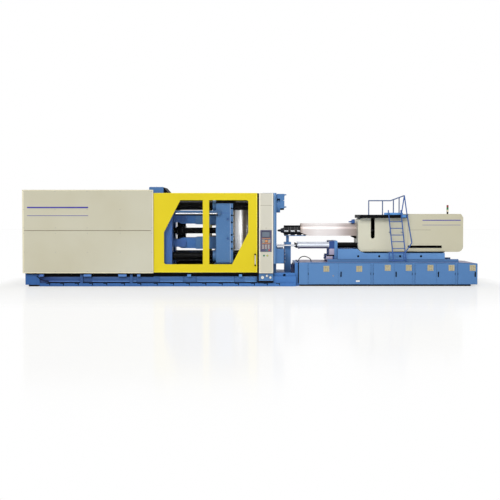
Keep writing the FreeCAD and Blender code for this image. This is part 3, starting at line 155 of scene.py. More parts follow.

# ---------------------------------------------------------------- clamp bed
# Two long welded box beams of plate steel on foot rails, primed and sprayed with blue machine
# enamel, drawn darker towards the clamp end as painted shade, with the webs under the covers in a
# darker copy as painted shade. The drain pockets along the foot rails are drawn as black plates,
# their painted shade, and a black bead under the beams is a painted shadow line. Folded boxes
# stiffen the webs, their top edges painted pale as a highlight, and black sheet aprons stand for
# the shade in the gap under the covers.


def new_finish(name, **amounts):
    """A new material with its node tree, its shader and the object's own coordinates. Amounts are set
    on the shader's sockets of those names."""
    made = bpy.data.materials.new(name)
    made.use_nodes = True
    tree = made.node_tree
    shader = tree.nodes["Principled BSDF"]
    for socket, amount in amounts.items():
        shader.inputs[socket.replace("_", " ")].default_value = amount
    return made, tree, shader, add(tree, "TexCoord").outputs["Object"]


NOISE_MIDDLE = {"From Min": 0.3, "From Max": 0.7}    # nearly all of a noise lies between these


def enamel(name, face, deep, mottle=1.4, gloss=0.34, corner_shade=0.35, specular=0.3, along=None):
    """Two-pack machine enamel sprayed on plate and castings: an even satin coat with a fine orange
    peel, slightly cloudy over a metre or two, darkened in the corners by painted shade from ambient
    occlusion. Where along gives two places on X, the tone runs from the first to the second between
    them, a painted change of shade along the machine."""
    coated, tree, shader, where = new_finish(name, Specular_IOR_Level=specular)
    cloud = add(tree, "TexNoise", {"Vector": where, "Scale": 1 / mottle, "Detail": 3.0})
    share = add(tree, "MapRange", {"Value": cloud.outputs["Fac"], **NOISE_MIDDLE})
    # painted shade: along X the coat is drawn from its first tone to its second
    if along:
        place = add(tree, "SeparateXYZ", {0: where})
        shade_ramp = add(tree, "MapRange", {"Value": place.outputs["X"], "From Min": along[0], "From Max": along[1]})
        share = add(tree, "Mix", {0: 0.8, 2: share.outputs[0], 3: shade_ramp.outputs[0]})
    coat = add(tree, "Mix", {0: share.outputs[0], 6: linear(face), 7: linear(deep)}, data_type="RGBA")
    # painted shade: the coat darkens towards #1d222b where ambient occlusion finds corners and crevices
    corner = add(tree, "AmbientOcclusion", {"Distance": 0.16}, samples=4)
    corner_shading = add(tree, "MapRange", {"Value": corner.outputs["AO"], "From Min": 0.25, "From Max": 0.8,
                                   "To Min": corner_shade, "To Max": 0.0})
    shaded_coat = add(tree, "Mix", {0: corner_shading.outputs[0], 6: coat.outputs[2], 7: linear("#1d222b")},
               data_type="RGBA")
    tree.links.new(shaded_coat.outputs[2], shader.inputs["Base Color"])
    smear = add(tree, "TexNoise", {"Vector": where, "Scale": 1 / 0.25, "Detail": 5.0})
    sheen = add(tree, "MapRange", {"Value": smear.outputs["Fac"], **NOISE_MIDDLE,
                                   "To Min": gloss, "To Max": gloss + 0.14})
    tree.links.new(sheen.outputs[0], shader.inputs["Roughness"])
    # the real peel is about 2 mm across: drawn at 14 mm, so that it shows from a few metres
    peel = add(tree, "TexNoise", {"Vector": where, "Scale": 1 / 0.014, "Detail": 1.0})
    skin = add(tree, "Bump", {"Height": peel.outputs["Fac"], "Strength": 0.05, "Distance": 0.004})
    tree.links.new(skin.outputs[0], shader.inputs["Normal"])
    return coated


BODY_OF = {node: body for body, nodes in frame["record"]["behaviour"]["bodies"].items() for node in nodes}
SHARP_EDGE = math.radians(34)


def piece(name, slot, finish, mesh):
    """The bmesh as an object of that finish, on the body of its slot: its faces point outwards, and
    are smooth up to a sharp edge."""
    bmesh.ops.remove_doubles(mesh, verts=mesh.verts, dist=1e-5)
    bmesh.ops.recalc_face_normals(mesh, faces=mesh.faces)
    for face in mesh.faces:
        face.smooth = True
    for edge in mesh.edges:
        edge.smooth = len(edge.link_faces) == 2 and edge.calc_face_angle(0) < SHARP_EDGE
    data = bpy.data.meshes.new(name)
    mesh.to_mesh(data)
    mesh.free()
    for each in (finish if isinstance(finish, (list, tuple)) else [finish]):
        data.materials.append(each)
    made = bpy.data.objects.new(name, data)
    bpy.context.scene.collection.objects.link(made)
    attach(made, BODY_OF[slot])
    return made


def slab(mesh, low, high, soft=0.0):
    """A plate or block between two corners in metres, its edges rounded by soft."""
    low, high = Vector(low), Vector(high)
    place = Matrix.Translation((low + high) / 2) @ Matrix.Diagonal((*(high - low), 1))
    verts = bmesh.ops.create_cube(mesh, size=1.0, matrix=place)["verts"]
    if soft:
        edges = {edge for vert in verts for edge in vert.link_edges}
        bmesh.ops.bevel(mesh, geom=list(edges), offset=soft, offset_type="OFFSET", segments=2, profile=0.5,
                        affect="EDGES", material=-1, clamp_overlap=True)


def plates(name, slot, finish, blocks, mirrored=False):
    """A piece of plates and blocks, each with two corners and the radius of its edges. A mirrored
    one is given for the rear side, and stands on the operator's side too."""
    mesh = bmesh.new()
    for low, high, *soft in blocks:
        if mirrored:
            slab(mesh, (low[0], -high[1], low[2]), (high[0], -low[1], high[2]), *soft)
        slab(mesh, low, high, *soft)
    return piece(name, slot, finish, mesh)


def merged(node):
    """A CAD node's mesh with its loose triangles joined."""
    mesh = bmesh.new()
    mesh.from_mesh(frame["nodes"][node].data)
    bmesh.ops.remove_doubles(mesh, verts=mesh.verts, dist=1e-5)
    return mesh


def dressed(node, finishes, choose):
    """A merged copy of a CAD node that stands for it, with a finish chosen for each face by its middle."""
    mesh = merged(node)
    for face in mesh.faces:
        face.material_index = choose(face.calc_center_median(), face.normal)
    made = piece(f"{node}_dressed", node, finishes, mesh)
    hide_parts(node)
    return made


# painted shade: the bed's enamels darken along X towards the clamp end, and the web faces under the covers take a
# much darker copy of the blue
BED_SHADE_RAMP = (-7.9, 0.3)
rail_enamel = enamel("rail_enamel_shade_ramp", "#24528f", "#4379bb", along=BED_SHADE_RAMP)
web_shade_enamel = enamel("web_enamel_painted_shade", "#0e2a64", "#4a7ab4", along=BED_SHADE_RAMP)
edge_highlight_blue = enamel("blue_edge_highlight", "#4767b0", "#679fdd", along=BED_SHADE_RAMP)
black_enamel = enamel("black_chassis_enamel", "#0a0a0d", "#060608", gloss=0.5, specular=0.06)

WEB_FACE, RAIL_FACE, RAIL_TOP = 1.345, 1.335, 0.1185
POCKETS = (-7.47, -6.96, -6.41, -5.88, -5.345, -4.69, -4.08, -3.47, -2.86, -2.27, -1.66, -1.05, -0.45,
           0.145, 0.625, 1.075)
BOXES = ((-7.53, -6.27), (-5.92, -4.26), (-3.40, -2.53), (-2.02, -0.62), (-0.24, 0.22))
LUG_TOP = 0.4551
dressed("clamp_bed", [rail_enamel, web_shade_enamel],
        lambda at, normal: 1 if abs(at.y) < WEB_FACE and at.z > 0.13 and -7.8 < at.x < 0.3 else 0)
# painted shade: black plates proud of the foot rails stand for the dark drain pockets
plates("foot_rail_pocket_shade", "clamp_bed", black_enamel,
       [((right - width, RAIL_FACE, low), (right, 1.3515, RAIL_TOP), 0.003)
        for right in POCKETS for width, low in ((0.034, 0.036), (0.150, 0.098))], mirrored=True)
plates("web_stiffener_boxes", "clamp_bed", web_shade_enamel,
       [((left, 1.271, 0.163), (right, 1.301, 0.356), 0.006) for left, right in BOXES], mirrored=True)
# painted highlight: pale strips along the top edges of the stiffener boxes
plates("web_box_edge_highlights", "clamp_bed", edge_highlight_blue,
       [((left + 0.01, 1.300, 0.168), (right - 0.01, 1.305, 0.206), 0.002) for left, right in BOXES],
       mirrored=True)
# painted shadow: a black bead along the foot rails under the beams
plates("foot_rail_shadow_bead", "clamp_bed", black_enamel,
       [((-7.56, 1.2905, 0.1182), (0.22, 1.348, 0.150), 0.004)], mirrored=True)
# painted shade: black sheets fill the gap under the covers and the slit at the bed's left end
plates("bed_shade_aprons", "clamp_bed", black_enamel,
       [((-7.86, 1.280, 0.350), (-3.63, 1.296, 0.4965)), ((-3.63, 1.280, 0.384), (0.29, 1.296, 0.4965)),
        ((-8.27, 1.000, 0.001), (-7.90, 1.343, 0.0605), 0.006)], mirrored=True)
plates("apron_lips", "clamp_bed", web_shade_enamel,
       [((-5.88, 1.296, 0.446), (-4.24, 1.308, 0.4965), 0.002)], mirrored=True)
# the rails that the doors run on are black, and their lugs on the web are painted pale as a highlight
dressed("door_rails", [black_enamel, edge_highlight_blue], lambda at, normal: 1 if at.z < LUG_TOP else 0)

# ---------------------------------------------------------------- cable of the bed
# A black rubber-sheathed cable, 24 mm thick, leaves the bed's end plate and dips beside the foot
# rail to a second gland. Its sheath is dull, and a little dusty.


def smooth_skin(name, tone, low, high=None, deeper=None, grain=0.012, detail=2.0, **more):
    """A smooth skin of rubber, plastic, film or plating. Its sparked texture or its dust is seen as a
    change of gloss from low to high and, where deeper gives a second tone, as a slight change of tone."""
    made, tree, shader, where = new_finish(name, Base_Color=linear(tone), Roughness=low, **more)
    # the real texture is under a millimetre across: drawn at a centimetre or more, so that it shows
    speckle = add(tree, "TexNoise", {"Vector": where, "Scale": 1 / grain, "Detail": detail})
    if deeper:
        tint = add(tree, "Mix", {0: speckle.outputs["Fac"], 6: linear(tone), 7: linear(deeper)},
                   data_type="RGBA")
        tree.links.new(tint.outputs[2], shader.inputs["Base Color"])
    if high:
        rough = add(tree, "MapRange", {"Value": speckle.outputs["Fac"], "To Min": low, "To Max": high})
        tree.links.new(rough.outputs[0], shader.inputs["Roughness"])
    return made


def hose(name, slot, finish, thickness, points, **cord):
    """A hose or cable as one NURBS curve through the control points of its CAD node, which it replaces."""
    line = bpy.data.curves.new(name, "CURVE")
    line.dimensions = "3D"
    line.bevel_depth = thickness / 2
    line.bevel_resolution = 5
    line.use_fill_caps = True
    run = line.splines.new("NURBS")
    run.points.add(len(points) - 1)
    for knot, place in zip(run.points, points):
        knot.co = (*place, 1.0)
    run.order_u = 3
    run.use_endpoint_u = True
    line.materials.append(finish)
    made = bpy.data.objects.new(name, line)
    bpy.context.scene.collection.objects.link(made)
    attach(made, BODY_OF[slot])
    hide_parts(slot)
    return made


rubber = smooth_skin("black_moulded_rubber", "#0c0c0d", 0.5, 0.8, grain=0.05, detail=3.0, Specular_IOR_Level=0.10)
hose("bed_cable_run", "bed_cable", rubber, 0.024,
     [(-7.964, -1.3503, 0.387), (-7.964, -1.390, 0.387), (-7.900, -1.398, 0.330), (-7.800, -1.392, 0.262),
      (-7.700, -1.380, 0.222), (-7.610, -1.372, 0.204), (-7.556, -1.352, 0.200), (-7.556, -1.2903, 0.200)],
     length=0.552, stiffness="medium", lay="loose")

# ---------------------------------------------------------------- tie bars and their nuts
# Four forged bars 320 mm thick, ground and hard chromed; their near-black tone is a painted reflection of the dark
# clamp space.
# They end in nut housings on the fixed platen's outer face, each held by a ring of hexagon screws.
TURN = {"x": Matrix.Rotation(math.pi / 2, 4, "Y"), "y": Matrix.Rotation(-math.pi / 2, 4, "X"),
        "z": Matrix.Identity(4)}


def disc(mesh, axis, centre, radius, length, sides=24, top=None):
    """A turned boss, washer or bolt head about an axis, from centre along it; top is its far radius."""
    middle = Vector(centre) + TURN[axis].to_3x3() @ Vector((0, 0, length / 2))
    bmesh.ops.create_cone(mesh, cap_ends=True, segments=sides, radius1=radius,
                          radius2=radius if top is None else top, depth=abs(length),
                          matrix=Matrix.Translation(middle) @ TURN[axis])


def paint(finish, *nodes):
    """CAD nodes that keep their shape take a finish."""
    for node in nodes:
        for slot in frame["nodes"][node].material_slots:
            slot.material = finish


def bare_metal(name, tone, low, high, streak=(1, 1, 1), size=0.02, bump=0.03, metallic=1.0, **more):
    """Bare worked metal. Its roughness runs from low to high in marks of that size, which are drawn
    out along the way it was cut or rolled where streak is small."""
    metal, tree, shader, where = new_finish(name, Base_Color=linear(tone), Metallic=metallic, **more)
    # the real marks are a fraction of a millimetre wide: drawn 15 to 50 mm wide, so that they show
    drawn = add(tree, "Mapping", {"Vector": where, "Scale": streak})
    marks = add(tree, "TexNoise", {"Vector": drawn.outputs[0], "Scale": 1 / size, "Detail": 4.0})
    rough = add(tree, "MapRange", {"Value": marks.outputs["Fac"], **NOISE_MIDDLE,
                                   "To Min": low, "To Max": high})
    tree.links.new(rough.outputs[0], shader.inputs["Roughness"])
    cut_marks = add(tree, "Bump", {"Height": marks.outputs["Fac"], "Strength": bump, "Distance": 0.002})
    tree.links.new(cut_marks.outputs[0], shader.inputs["Normal"])
    return metal


# painted reflection: the chrome mirrors the dark inside of the machine, so it is drawn as a near-black coat with a
# faint gloss
dark_mirror_chrome = bare_metal("chrome_painted_dark_reflection", "#080707", 0.22, 0.34, (0.05, 1, 1), 0.03, metallic=0.0,
                          Specular_IOR_Level=0.06)
blue_enamel = enamel("blue_machine_enamel", "#5481b5", "#4b77ab")
zinc = smooth_skin("zinc_plated_steel", "#b9bcc0", 0.28, 0.5, grain=0.01, Metallic=1.0)
paint(dark_mirror_chrome, "tie_bars")
paint(blue_enamel, "tie_bar_nuts")
BAR_Y, LOWER_BAR_Z = 0.93, 1.115
SCREW_RING, NUT_HALF = 0.228, 0.276
ring_screws = bmesh.new()
for y in (-BAR_Y, BAR_Y):
    for turn in range(10):
        angle = math.radians(36 * turn + 18)
        disc(ring_screws, "x", (1.260, y + SCREW_RING * math.cos(angle),
                                LOWER_BAR_Z + SCREW_RING * math.sin(angle)), 0.02, 0.022, 6)
piece("nut_ring_screws", "tie_bar_nuts", zinc, ring_screws)
# painted shade: dark navy plates round the nut housings' outer ends draw their shadowed outline
plates("nut_end_plates", "tie_bar_nuts", enamel("nut_outline_shade_enamel", "#1d2f5e", "#162650"),
       [((1.226, BAR_Y - NUT_HALF, LOWER_BAR_Z - NUT_HALF), (1.2595, BAR_Y + NUT_HALF, LOWER_BAR_Z + NUT_HALF),
         0.004)], mirrored=True)

# ---------------------------------------------------------------- platens
# Three ductile-iron castings, stress-relieved and bored for the bars, sprayed blue on the cast
# sides. The mould faces are milled bare, with T-slots whose open ends are filled by black plugs
# as painted shade, and pale strips along their edges are a painted highlight.
PLATEN_SIDE = 1.2495    # trim starts 0.5 mm inside the platens' sides
milled_iron = bare_metal("milled_cast_iron", "#7d8085", 0.30, 0.45, size=0.015)
black_iron = bare_metal("black_oxide_iron", "#0e0e10", 0.42, 0.60)
# painted shade: a darker copy of the blue enamel for parts deep in the machine and for upward faces
shaded_blue = enamel("blue_enamel_painted_shade", "#4670b4", "#3e65a8")
dressed("fixed_platen", [blue_enamel, milled_iron],
        lambda at, normal: 1 if normal.x < -0.9 and at.x < 0.48 and at.z > 0.9 else 0)
dressed("moving_platen", [blue_enamel, milled_iron],
        lambda at, normal: 1 if normal.x > 0.9 and at.x > -0.70 and at.z > 0.9 and abs(at.y) < 1.2 else 0)
paint(shaded_blue, "rear_platen")
# painted shade: black sheets along the moving platen's top corners
plates("platen_top_shade_aprons", "moving_platen", black_enamel,
       [((-1.300, PLATEN_SIDE, 3.088), (-0.570, 1.2525, 3.2095))], mirrored=True)
side_screws = bmesh.new()
for z in (1.78, 2.506):
    disc(side_screws, "y", (-0.862, -1.25, z), 0.042, -0.03, 6)
    disc(side_screws, "y", (-0.862, -1.28, z), 0.022, -0.02, 12)
piece("platen_lift_screws", "moving_platen", shaded_blue, side_screws)
# painted highlight: pale strips along the platens' edges
plates("fixed_platen_edges", "fixed_platen", enamel("platen_edge_highlight", "#88b3e6", "#78a4da"),
       [((0.842, PLATEN_SIDE, 0.84), (0.900, 1.2515, 3.465))], mirrored=True)
# painted shade: black blocks fill the T-slots' open ends at the platen's sides
plates("slot_end_shade_plugs", "moving_platen", black_iron,
       [((left, 1.18, z - half), (left + width, 1.2515, z + half))
        for z in (1.393, 1.654, 1.914, 2.380, 2.640, 2.900)
        for left, width, half in ((-0.7435, 0.0373, 0.0335), (-0.7062, 0.0380, 0.0165))], mirrored=True)
plates("platen_face_edges", "moving_platen", enamel("platen_face_edge_highlight", "#a4b6d8", "#96a9ce"),
       [((-0.778, PLATEN_SIDE, 0.86), (-0.760, 1.2515, 3.08))], mirrored=True)
plates("platen_joint_lines", "moving_platen", shaded_blue,
       [((-1.110, PLATEN_SIDE, 2.716), (-0.779, 1.2515, 2.734))], mirrored=True)

# ---------------------------------------------------------------- way guard
# A folded black sheet stands on the bed behind the moving platen, inside the rear door. It keeps
# grease from the ways off the door, and its black is painted shade that closes the view under the lower tie bars.
plates("rear_way_guard", "clamp_bed", black_enamel,
       [((-3.560, 1.300, 0.500), (0.270, 1.306, 0.930), 0.002),
        ((-3.560, 1.282, 0.924), (0.270, 1.306, 0.930), 0.002)])

# ---------------------------------------------------------------- die-height drive
# A sheet box on the rear platen's top holds the geared motor, with a black slanted guard in front.
# The big nuts behind the platen turn together to set the die height.
ground_steel = bare_metal("ground_steel", "#8f9398", 0.25, 0.42)
dressed("height_drive", [blue_enamel, black_enamel, ground_steel],
        lambda at, normal: 1 if at.x > -3.275 and at.z > 3.4 else (2 if at.z < 3.4 else 0))
lid_screws = bmesh.new()
for x in (-3.74, -3.54, -3.34):
    for y in (-0.92, -0.46, 0.0, 0.46, 0.92):
        disc(lid_screws, "z", (x, y, 3.704), 0.012, 0.008, 12)
piece("drive_box_screws", "height_drive", zinc, lid_screws)

# ---------------------------------------------------------------- toggle
# Forged and sprayed links in pairs on hardened pins, the black crosshead that the clamp piston
# drives between them, and its two guide bars. Pin caps are held by hexagon screws.
# painted shade and light: the rear links take the shaded blue, the front links a brighter lit copy of it
paint(shaded_blue, "upper_rear_links", "lower_rear_links")
paint(enamel("lit_link_enamel", "#4a80c6", "#4175b9"), "upper_front_links", "lower_front_links")
paint(black_iron, "upper_crosshead_links", "lower_crosshead_links")
paint(dark_mirror_chrome, "guide_bars")
paint(blue_enamel, "clamp_cylinder")
paint(ground_steel, "ejector_plate")
dressed("crosshead", [black_iron, dark_mirror_chrome], lambda at, normal: 1 if at.x < -2.83 else 0)
FRONT_PIN_X, CAP_RING = -1.76, 0.062
cap_screws = bmesh.new()
for z in (1.595, 2.525):
    for side in (-1, 1):
        for turn in range(6):
            angle = math.radians(60 * turn)
            disc(cap_screws, "y", (FRONT_PIN_X + CAP_RING * math.cos(angle), side * 0.622,
                                   z + CAP_RING * math.sin(angle)), 0.012, side * 0.010, 6)
piece("front_pin_screws", "moving_platen", zinc, cap_screws)

# ---------------------------------------------------------------- clamp covers
# Folded sheet steel 2 mm thick on a tube frame, powder coated cream. The two rows of panels meet
# at a dark rubber joint strip, and small countersunk screws hold them. Two lines of glossy vinyl
# film run along the upper row.
COVER_FACE = 1.5
LEFT, RIGHT, BOTTOM, TOP = -8.458, -3.615, 0.500, 3.586
cream_coat = enamel("cream_powder_coat", "#cac8b7", "#c0bba4", mottle=3.2, gloss=0.42, corner_shade=0.12)
cream_edge_highlight = enamel("cream_edge_highlight_coat", "#e4dfc6", "#dcd6bb", mottle=3.2, gloss=0.42, corner_shade=0.05)
joint_shade = smooth_skin("aged_joint_rubber", "#8d8672", 0.7, deeper="#7c7563", grain=0.4)
indigo_film = smooth_skin("indigo_vinyl_film", "#2f2a92", 0.32, deeper="#3a35a0", grain=0.5)
paint(cream_coat, "side_covers", "end_cover")
# painted shade: the tube frame takes the dark web copy of the blue
paint(web_shade_enamel, "cover_frame")
# painted highlight: paler strips along the panels' edges
plates("cover_hem_highlights", "side_covers", cream_edge_highlight,
       [((left, 1.4990, low), (right, 1.5025, high), 0.0015) for left, low, right, high in (
           (LEFT, BOTTOM, RIGHT, 0.530), (LEFT, 3.556, RIGHT, TOP),
           (LEFT, 0.531, -8.400, 3.555), (-3.643, 0.531, RIGHT, 3.555))], mirrored=True)
plates("cover_joint_strips", "side_covers", joint_shade,
       [((-8.392, 1.4995, 2.068), (-3.700, 1.503, 2.092), 0.001)], mirrored=True)
fixings = bmesh.new()
for side in (-1, 1):
    for x in (-8.40, -7.24, -6.06, -4.84, -3.67):
        for z in (0.56, 1.28, 1.98, 2.18, 2.86, 3.53):
            disc(fixings, "y", (x, side * COVER_FACE, z), 0.012, side * 0.003, 12)
piece("cover_fixings", "side_covers", ground_steel, fixings)
plates("cover_stripes", "side_covers", indigo_film,
       [((-8.28, 1.4995, low), (-6.02, 1.5012, high), 0.0008) for low, high in ((2.905, 2.960), (2.620, 2.640))],
       mirrored=True)

# ---------------------------------------------------------------- sliding doors
# Each door is one folded sheet with a rolled edge, powder coated yellow, whose paler strips are a
# painted highlight; its black skirt is painted shade of the gap under the door. Two clear panes sit
# behind the cut-outs in black rubber gaskets, and a polished tube handle stands on two black bosses.
# The rear door carries the bright rolled sheet that shields the mould space, its tone a painted
# reflection, and a black blind over its upper window as painted shade.
DOOR_LEFT, DOOR_RIGHT, DOOR_FACE = -3.606, 0.230, 1.4505
SKIRT_TOP = 0.5245
HANDLE_X, GRIP_LOW, GRIP_HIGH, GRIP_FACE = 0.157, 0.828, 1.165, 1.497
PANE_FACE = 1.386
SHIELD_LOW, SHIELD_HIGH = 1.272, 2.884
PANES = [[(-3.222, 0.829), (-1.784, 0.829), (-1.784, 3.208), (-2.614, 3.208), (-3.222, 2.018)],
         [(-1.547, 0.829), (-0.700, 0.829), (-0.098, 2.007), (-0.098, 3.208), (-1.547, 3.208)]]


def reflection_along(metal, start, end, tones):
    """A painted reflection: the tone of a metal changes along X, from start to end, through the places and tones
    given.
    """
    tree = metal.node_tree
    place = add(tree, "SeparateXYZ", {0: add(tree, "TexCoord").outputs["Object"]})
    way = add(tree, "MapRange", {"Value": place.outputs["X"], "From Min": start, "From Max": end})
    ramp = add(tree, "ValToRGB", {"Fac": way.outputs[0]})
    stops = ramp.color_ramp.elements
    for at, tone in tones:
        stops.new(at).color = linear(tone)
    stops.remove(stops[0])
    stops.remove(stops[len(stops) - 1])
    tree.links.new(ramp.outputs[0], tree.nodes["Principled BSDF"].inputs["Base Color"])


def shells(node, choose, name, finishes, face_finish=None):
    """The shells of a CAD node whose middle passes, merged into a piece that stands for them."""
    mesh = merged(node)
    left = set(mesh.faces)
    dropped = []
    while left:
        shell, reached = [], [left.pop()]
        while reached:
            face = reached.pop()
            shell.append(face)
            for near in {other for edge in face.edges for other in edge.link_faces} & left:
                left.discard(near)
                reached.append(near)
        corners = [vert.co for face in shell for vert in face.verts]
        middle = Vector([(min(c[i] for c in corners) + max(c[i] for c in corners)) / 2 for i in range(3)])
        if not choose(middle):
            dropped += shell
    bmesh.ops.delete(mesh, geom=dropped, context="FACES")
    for face in mesh.faces:
        face.material_index = face_finish(face.calc_center_median(), face.normal) if face_finish else 0
    made = piece(name, node, finishes, mesh)
    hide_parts(node)
    return made


def door_finish(at, normal):
    """The sheet is yellow over a black skirt, which is painted shade of the gap under the door, and the handle is
    steel between its black ends.
    """
    if abs(at.y) > DOOR_FACE:
        return 2 if GRIP_LOW <= at.z <= GRIP_HIGH and abs(at.y) >= GRIP_FACE else 1
    return 1 if at.z < SKIRT_TOP else 0


def frame_round_panes(mesh, y, width, depth, outwards):
    """A flat ring round each pane at depth y, inside or outside its outline, thickened along Y."""
    for outline in PANES:
        face = mesh.faces.new([mesh.verts.new((x, y, z)) for x, z in outline])
        bmesh.ops.inset_region(mesh, faces=[face], thickness=width, use_boundary=True, use_outset=outwards)
        bmesh.ops.delete(mesh, geom=[face], context="FACES_ONLY")
    wall = bmesh.ops.extrude_face_region(mesh, geom=mesh.faces[:])["geom"]
    bmesh.ops.translate(mesh, verts=[v for v in wall if isinstance(v, bmesh.types.BMVert)], vec=(0, depth, 0))


yellow_coat = enamel("yellow_powder_coat", "#e0cc12", "#d8c30c", mottle=2.6, gloss=0.42, corner_shade=0.10)
yellow_edge_highlight = enamel("yellow_edge_highlight_coat", "#f3e434", "#ecdb28", mottle=2.6, gloss=0.36, corner_shade=0.04)
# the panes are so clear that only their gloss is seen
clear_sheet = smooth_skin("clear_polycarbonate", "#2c3034", 0.04, 0.10, grain=0.4, IOR=1.58, Alpha=0.015)
chrome_grip = bare_metal("polished_grip_tube", "#d8d9dc", 0.18, 0.30, (1, 1, 0.05))
# painted reflection: the shield's tone is dark at both ends, where it mirrors the dark mould space, and bright
# between them
sheet_steel = bare_metal("rolled_stainless_sheet", "#dcd9d6", 0.42, 0.55, (1, 1, 0.04), metallic=0.25)
reflection_along(sheet_steel, -0.660, -0.100, ((0.03, "#6b6055"), (0.10, "#f4f3f2"), (0.45, "#f4f3f2"),
                                          (0.65, "#6b6055"), (0.95, "#2a2520")))
for door, side in (("front_door", -1), ("rear_door", 1)):
    bosses, grip_tube, gasket, trim = [bmesh.new() for part in range(4)]
    for z in (0.797, 1.196):
        disc(bosses, "y", (HANDLE_X, side * DOOR_FACE, z), 0.031, side * 0.068, 28)
    disc(grip_tube, "z", (HANDLE_X, side * 1.5085, 0.826), 0.0185, 0.341, 28)
    piece(f"{door}_grip_bosses", door, rubber, bosses)
    piece(f"{door}_grip_tube", door, chrome_grip, grip_tube)
    shells(door, lambda at: abs(at.y) > 1.40, f"{door}_sheet", [yellow_coat, black_enamel, ground_steel],
           door_finish)
    shells(door, lambda at: abs(abs(at.y) - PANE_FACE) < 0.003, f"{door}_panes", [clear_sheet])
    frame_round_panes(gasket, side * 1.3895, 0.016, side * 0.012, False)
    piece(f"{door}_gasket", door, rubber, gasket)
    # painted highlight: paler strips round the cut-outs and along the top, foot and handle edge
    frame_round_panes(trim, side * 1.4502, 0.045, side * 0.004, True)
    inner, outer = sorted((side * 1.446, side * 1.458))
    slab(trim, (DOOR_LEFT, inner, 0.527), (DOOR_RIGHT, outer, 0.552), 0.005)
    slab(trim, (DOOR_LEFT, inner, 3.446), (DOOR_RIGHT, outer, 3.469), 0.005)
    slab(trim, (0.196, inner, 0.553), (DOOR_RIGHT, outer, 3.445), 0.005)
    piece(f"{door}_rolled_edge_highlight", door, yellow_edge_highlight, trim)
# painted shade: the blind over the rear window's top is black
shells("rear_door", lambda at: abs(at.y) < 1.375, "rear_shield", [sheet_steel, black_enamel],
       lambda at, normal: 1 if abs(at.y) > 1.372 and at.z > 2.883 else 0)
plates("shield_wings", "rear_door", sheet_steel,
       [((left, 1.3705, SHIELD_LOW), (right, 1.3735, SHIELD_HIGH), 0.001)
        for left, right in ((-0.212, -0.104), (-0.690, -0.632))])

# A small work light on the operator's side of the mould space, aimed at the shield, and narrow enough
# not to burn the platens wherever they stand.
LIGHT_AT, LIGHT_AIM = Vector((0.06, -1.40, 2.05)), Vector((-0.42, 1.30, 2.15))
work_light_data = bpy.data.lights.new("mould_space_work_light", "AREA")
work_light_data.size = 0.5
work_light_data.energy = 34.0
work_light_data.spread = math.radians(95)
work_light = bpy.data.objects.new("mould_space_work_light", work_light_data)
work_light.location = LIGHT_AT
work_light.rotation_euler = (LIGHT_AIM - LIGHT_AT).to_track_quat("-Z", "Y").to_euler()
bpy.context.scene.collection.objects.link(work_light)

# ---------------------------------------------------------------- safety bar
# A blue beam beside the moving platen carries the chromed bar and the black ratchet that block the
# clamp while a door stands open.
BEAM_Y = -1.295
bright_chrome = bare_metal("bright_hard_chrome", "#e3e4e8", 0.10, 0.22, (0.05, 1, 1), 0.03)
dressed("safety_bar", [blue_enamel, bright_chrome],
        lambda at, normal: 1 if at.z < 2.7415 and at.x < -1.24 and abs(at.y - BEAM_Y) < 0.031 else 0)
rack = bmesh.new()
slab(rack, (-2.800, -1.316, 2.634), (-1.245, -1.274, 2.6815), 0.003)
disc(rack, "x", (-1.262, BEAM_Y, 2.711), 0.036, 0.020, 28)
piece("safety_rack", "safety_bar", black_enamel, rack)

# ---------------------------------------------------------------- operator's column
# A cream sheet column carries the control panel, which has membrane key fields under a glass screen,
# and push buttons in turned steel collars. A black rubber bumper on its side meets the door, and
# black blocks below the gauge box are painted shadow.
COLUMN_FACE = -1.4992
column_coat = enamel("pale_cream_powder_coat", "#d3d0c4", "#c9c6b6", mottle=2.0, gloss=0.42, corner_shade=0.10)
column_edge_highlight = enamel("column_edge_highlight_coat", "#e9e4d6", "#e2dac8", mottle=2.0, corner_shade=0.05)
paint(column_coat, "control_column")
# the tall strip is the bumper; the two low blocks below the gauge box are painted shadow
plates("column_bumper_and_shadow", "control_column", rubber,
       [((0.2345, -1.446, 0.50), (0.2978, -1.270, 3.462), 0.006),
        ((0.2345, -1.424, 0.150), (0.2945, -1.300, 0.4545), 0.004),
        ((0.2945, -1.424, 0.150), (0.832, -1.300, 0.2118), 0.004)])
plates("column_joint_line", "control_column", joint_shade,
       [((0.302, -1.5012, 3.006), (0.819, COLUMN_FACE, 3.016)),
        ((0.541, -1.5030, 2.165), (0.585, -1.4990, 2.178), 0.001)])
# painted highlight: paler strips along the column's sides and foot
plates("column_hem_highlights", "control_column", column_edge_highlight,
       [((left, -1.5022, low), (right, COLUMN_FACE, high), 0.001) for left, low, right, high in (
           (0.3005, 0.528, 0.352, 3.461), (0.772, 0.528, 0.8205, 3.461), (0.3005, 0.500, 0.8205, 0.527))])

# printed membranes, caps and glass of the panel: sparked plastic is satin, the glass nearly clear
slate_film = smooth_skin("slate_membrane_film", "#50516f", 0.3, 0.45, "#484967")
screen_glass = smooth_skin("dimmed_screen_glass", "#6a7686", 0.06, 0.12, "#626e7e")
key_grey = smooth_skin("light_grey_key_caps", "#c4c0ba", 0.3, 0.45, "#b5b1ac")
orange_film = smooth_skin("orange_printed_line", "#c98a55", 0.3, 0.45)
shells("control_panel", lambda at: abs(at.z - 1.6955) < 0.02, "panel_plate", [slate_film])
shells("control_panel", lambda at: at.z > 1.85, "panel_screen", [screen_glass])
shells("control_panel", lambda at: at.z < 1.69, "panel_key_fields", [slate_film])
plates("screen_bezel", "control_panel", rubber,
       [((left, -1.519, low), (right, -1.512, high), 0.002) for left, low, right, high in (
           (0.398, 2.034, 0.709, 2.046), (0.398, 1.826, 0.709, 1.838),
           (0.398, 1.838, 0.409, 2.034), (0.698, 1.838, 0.709, 2.034))])
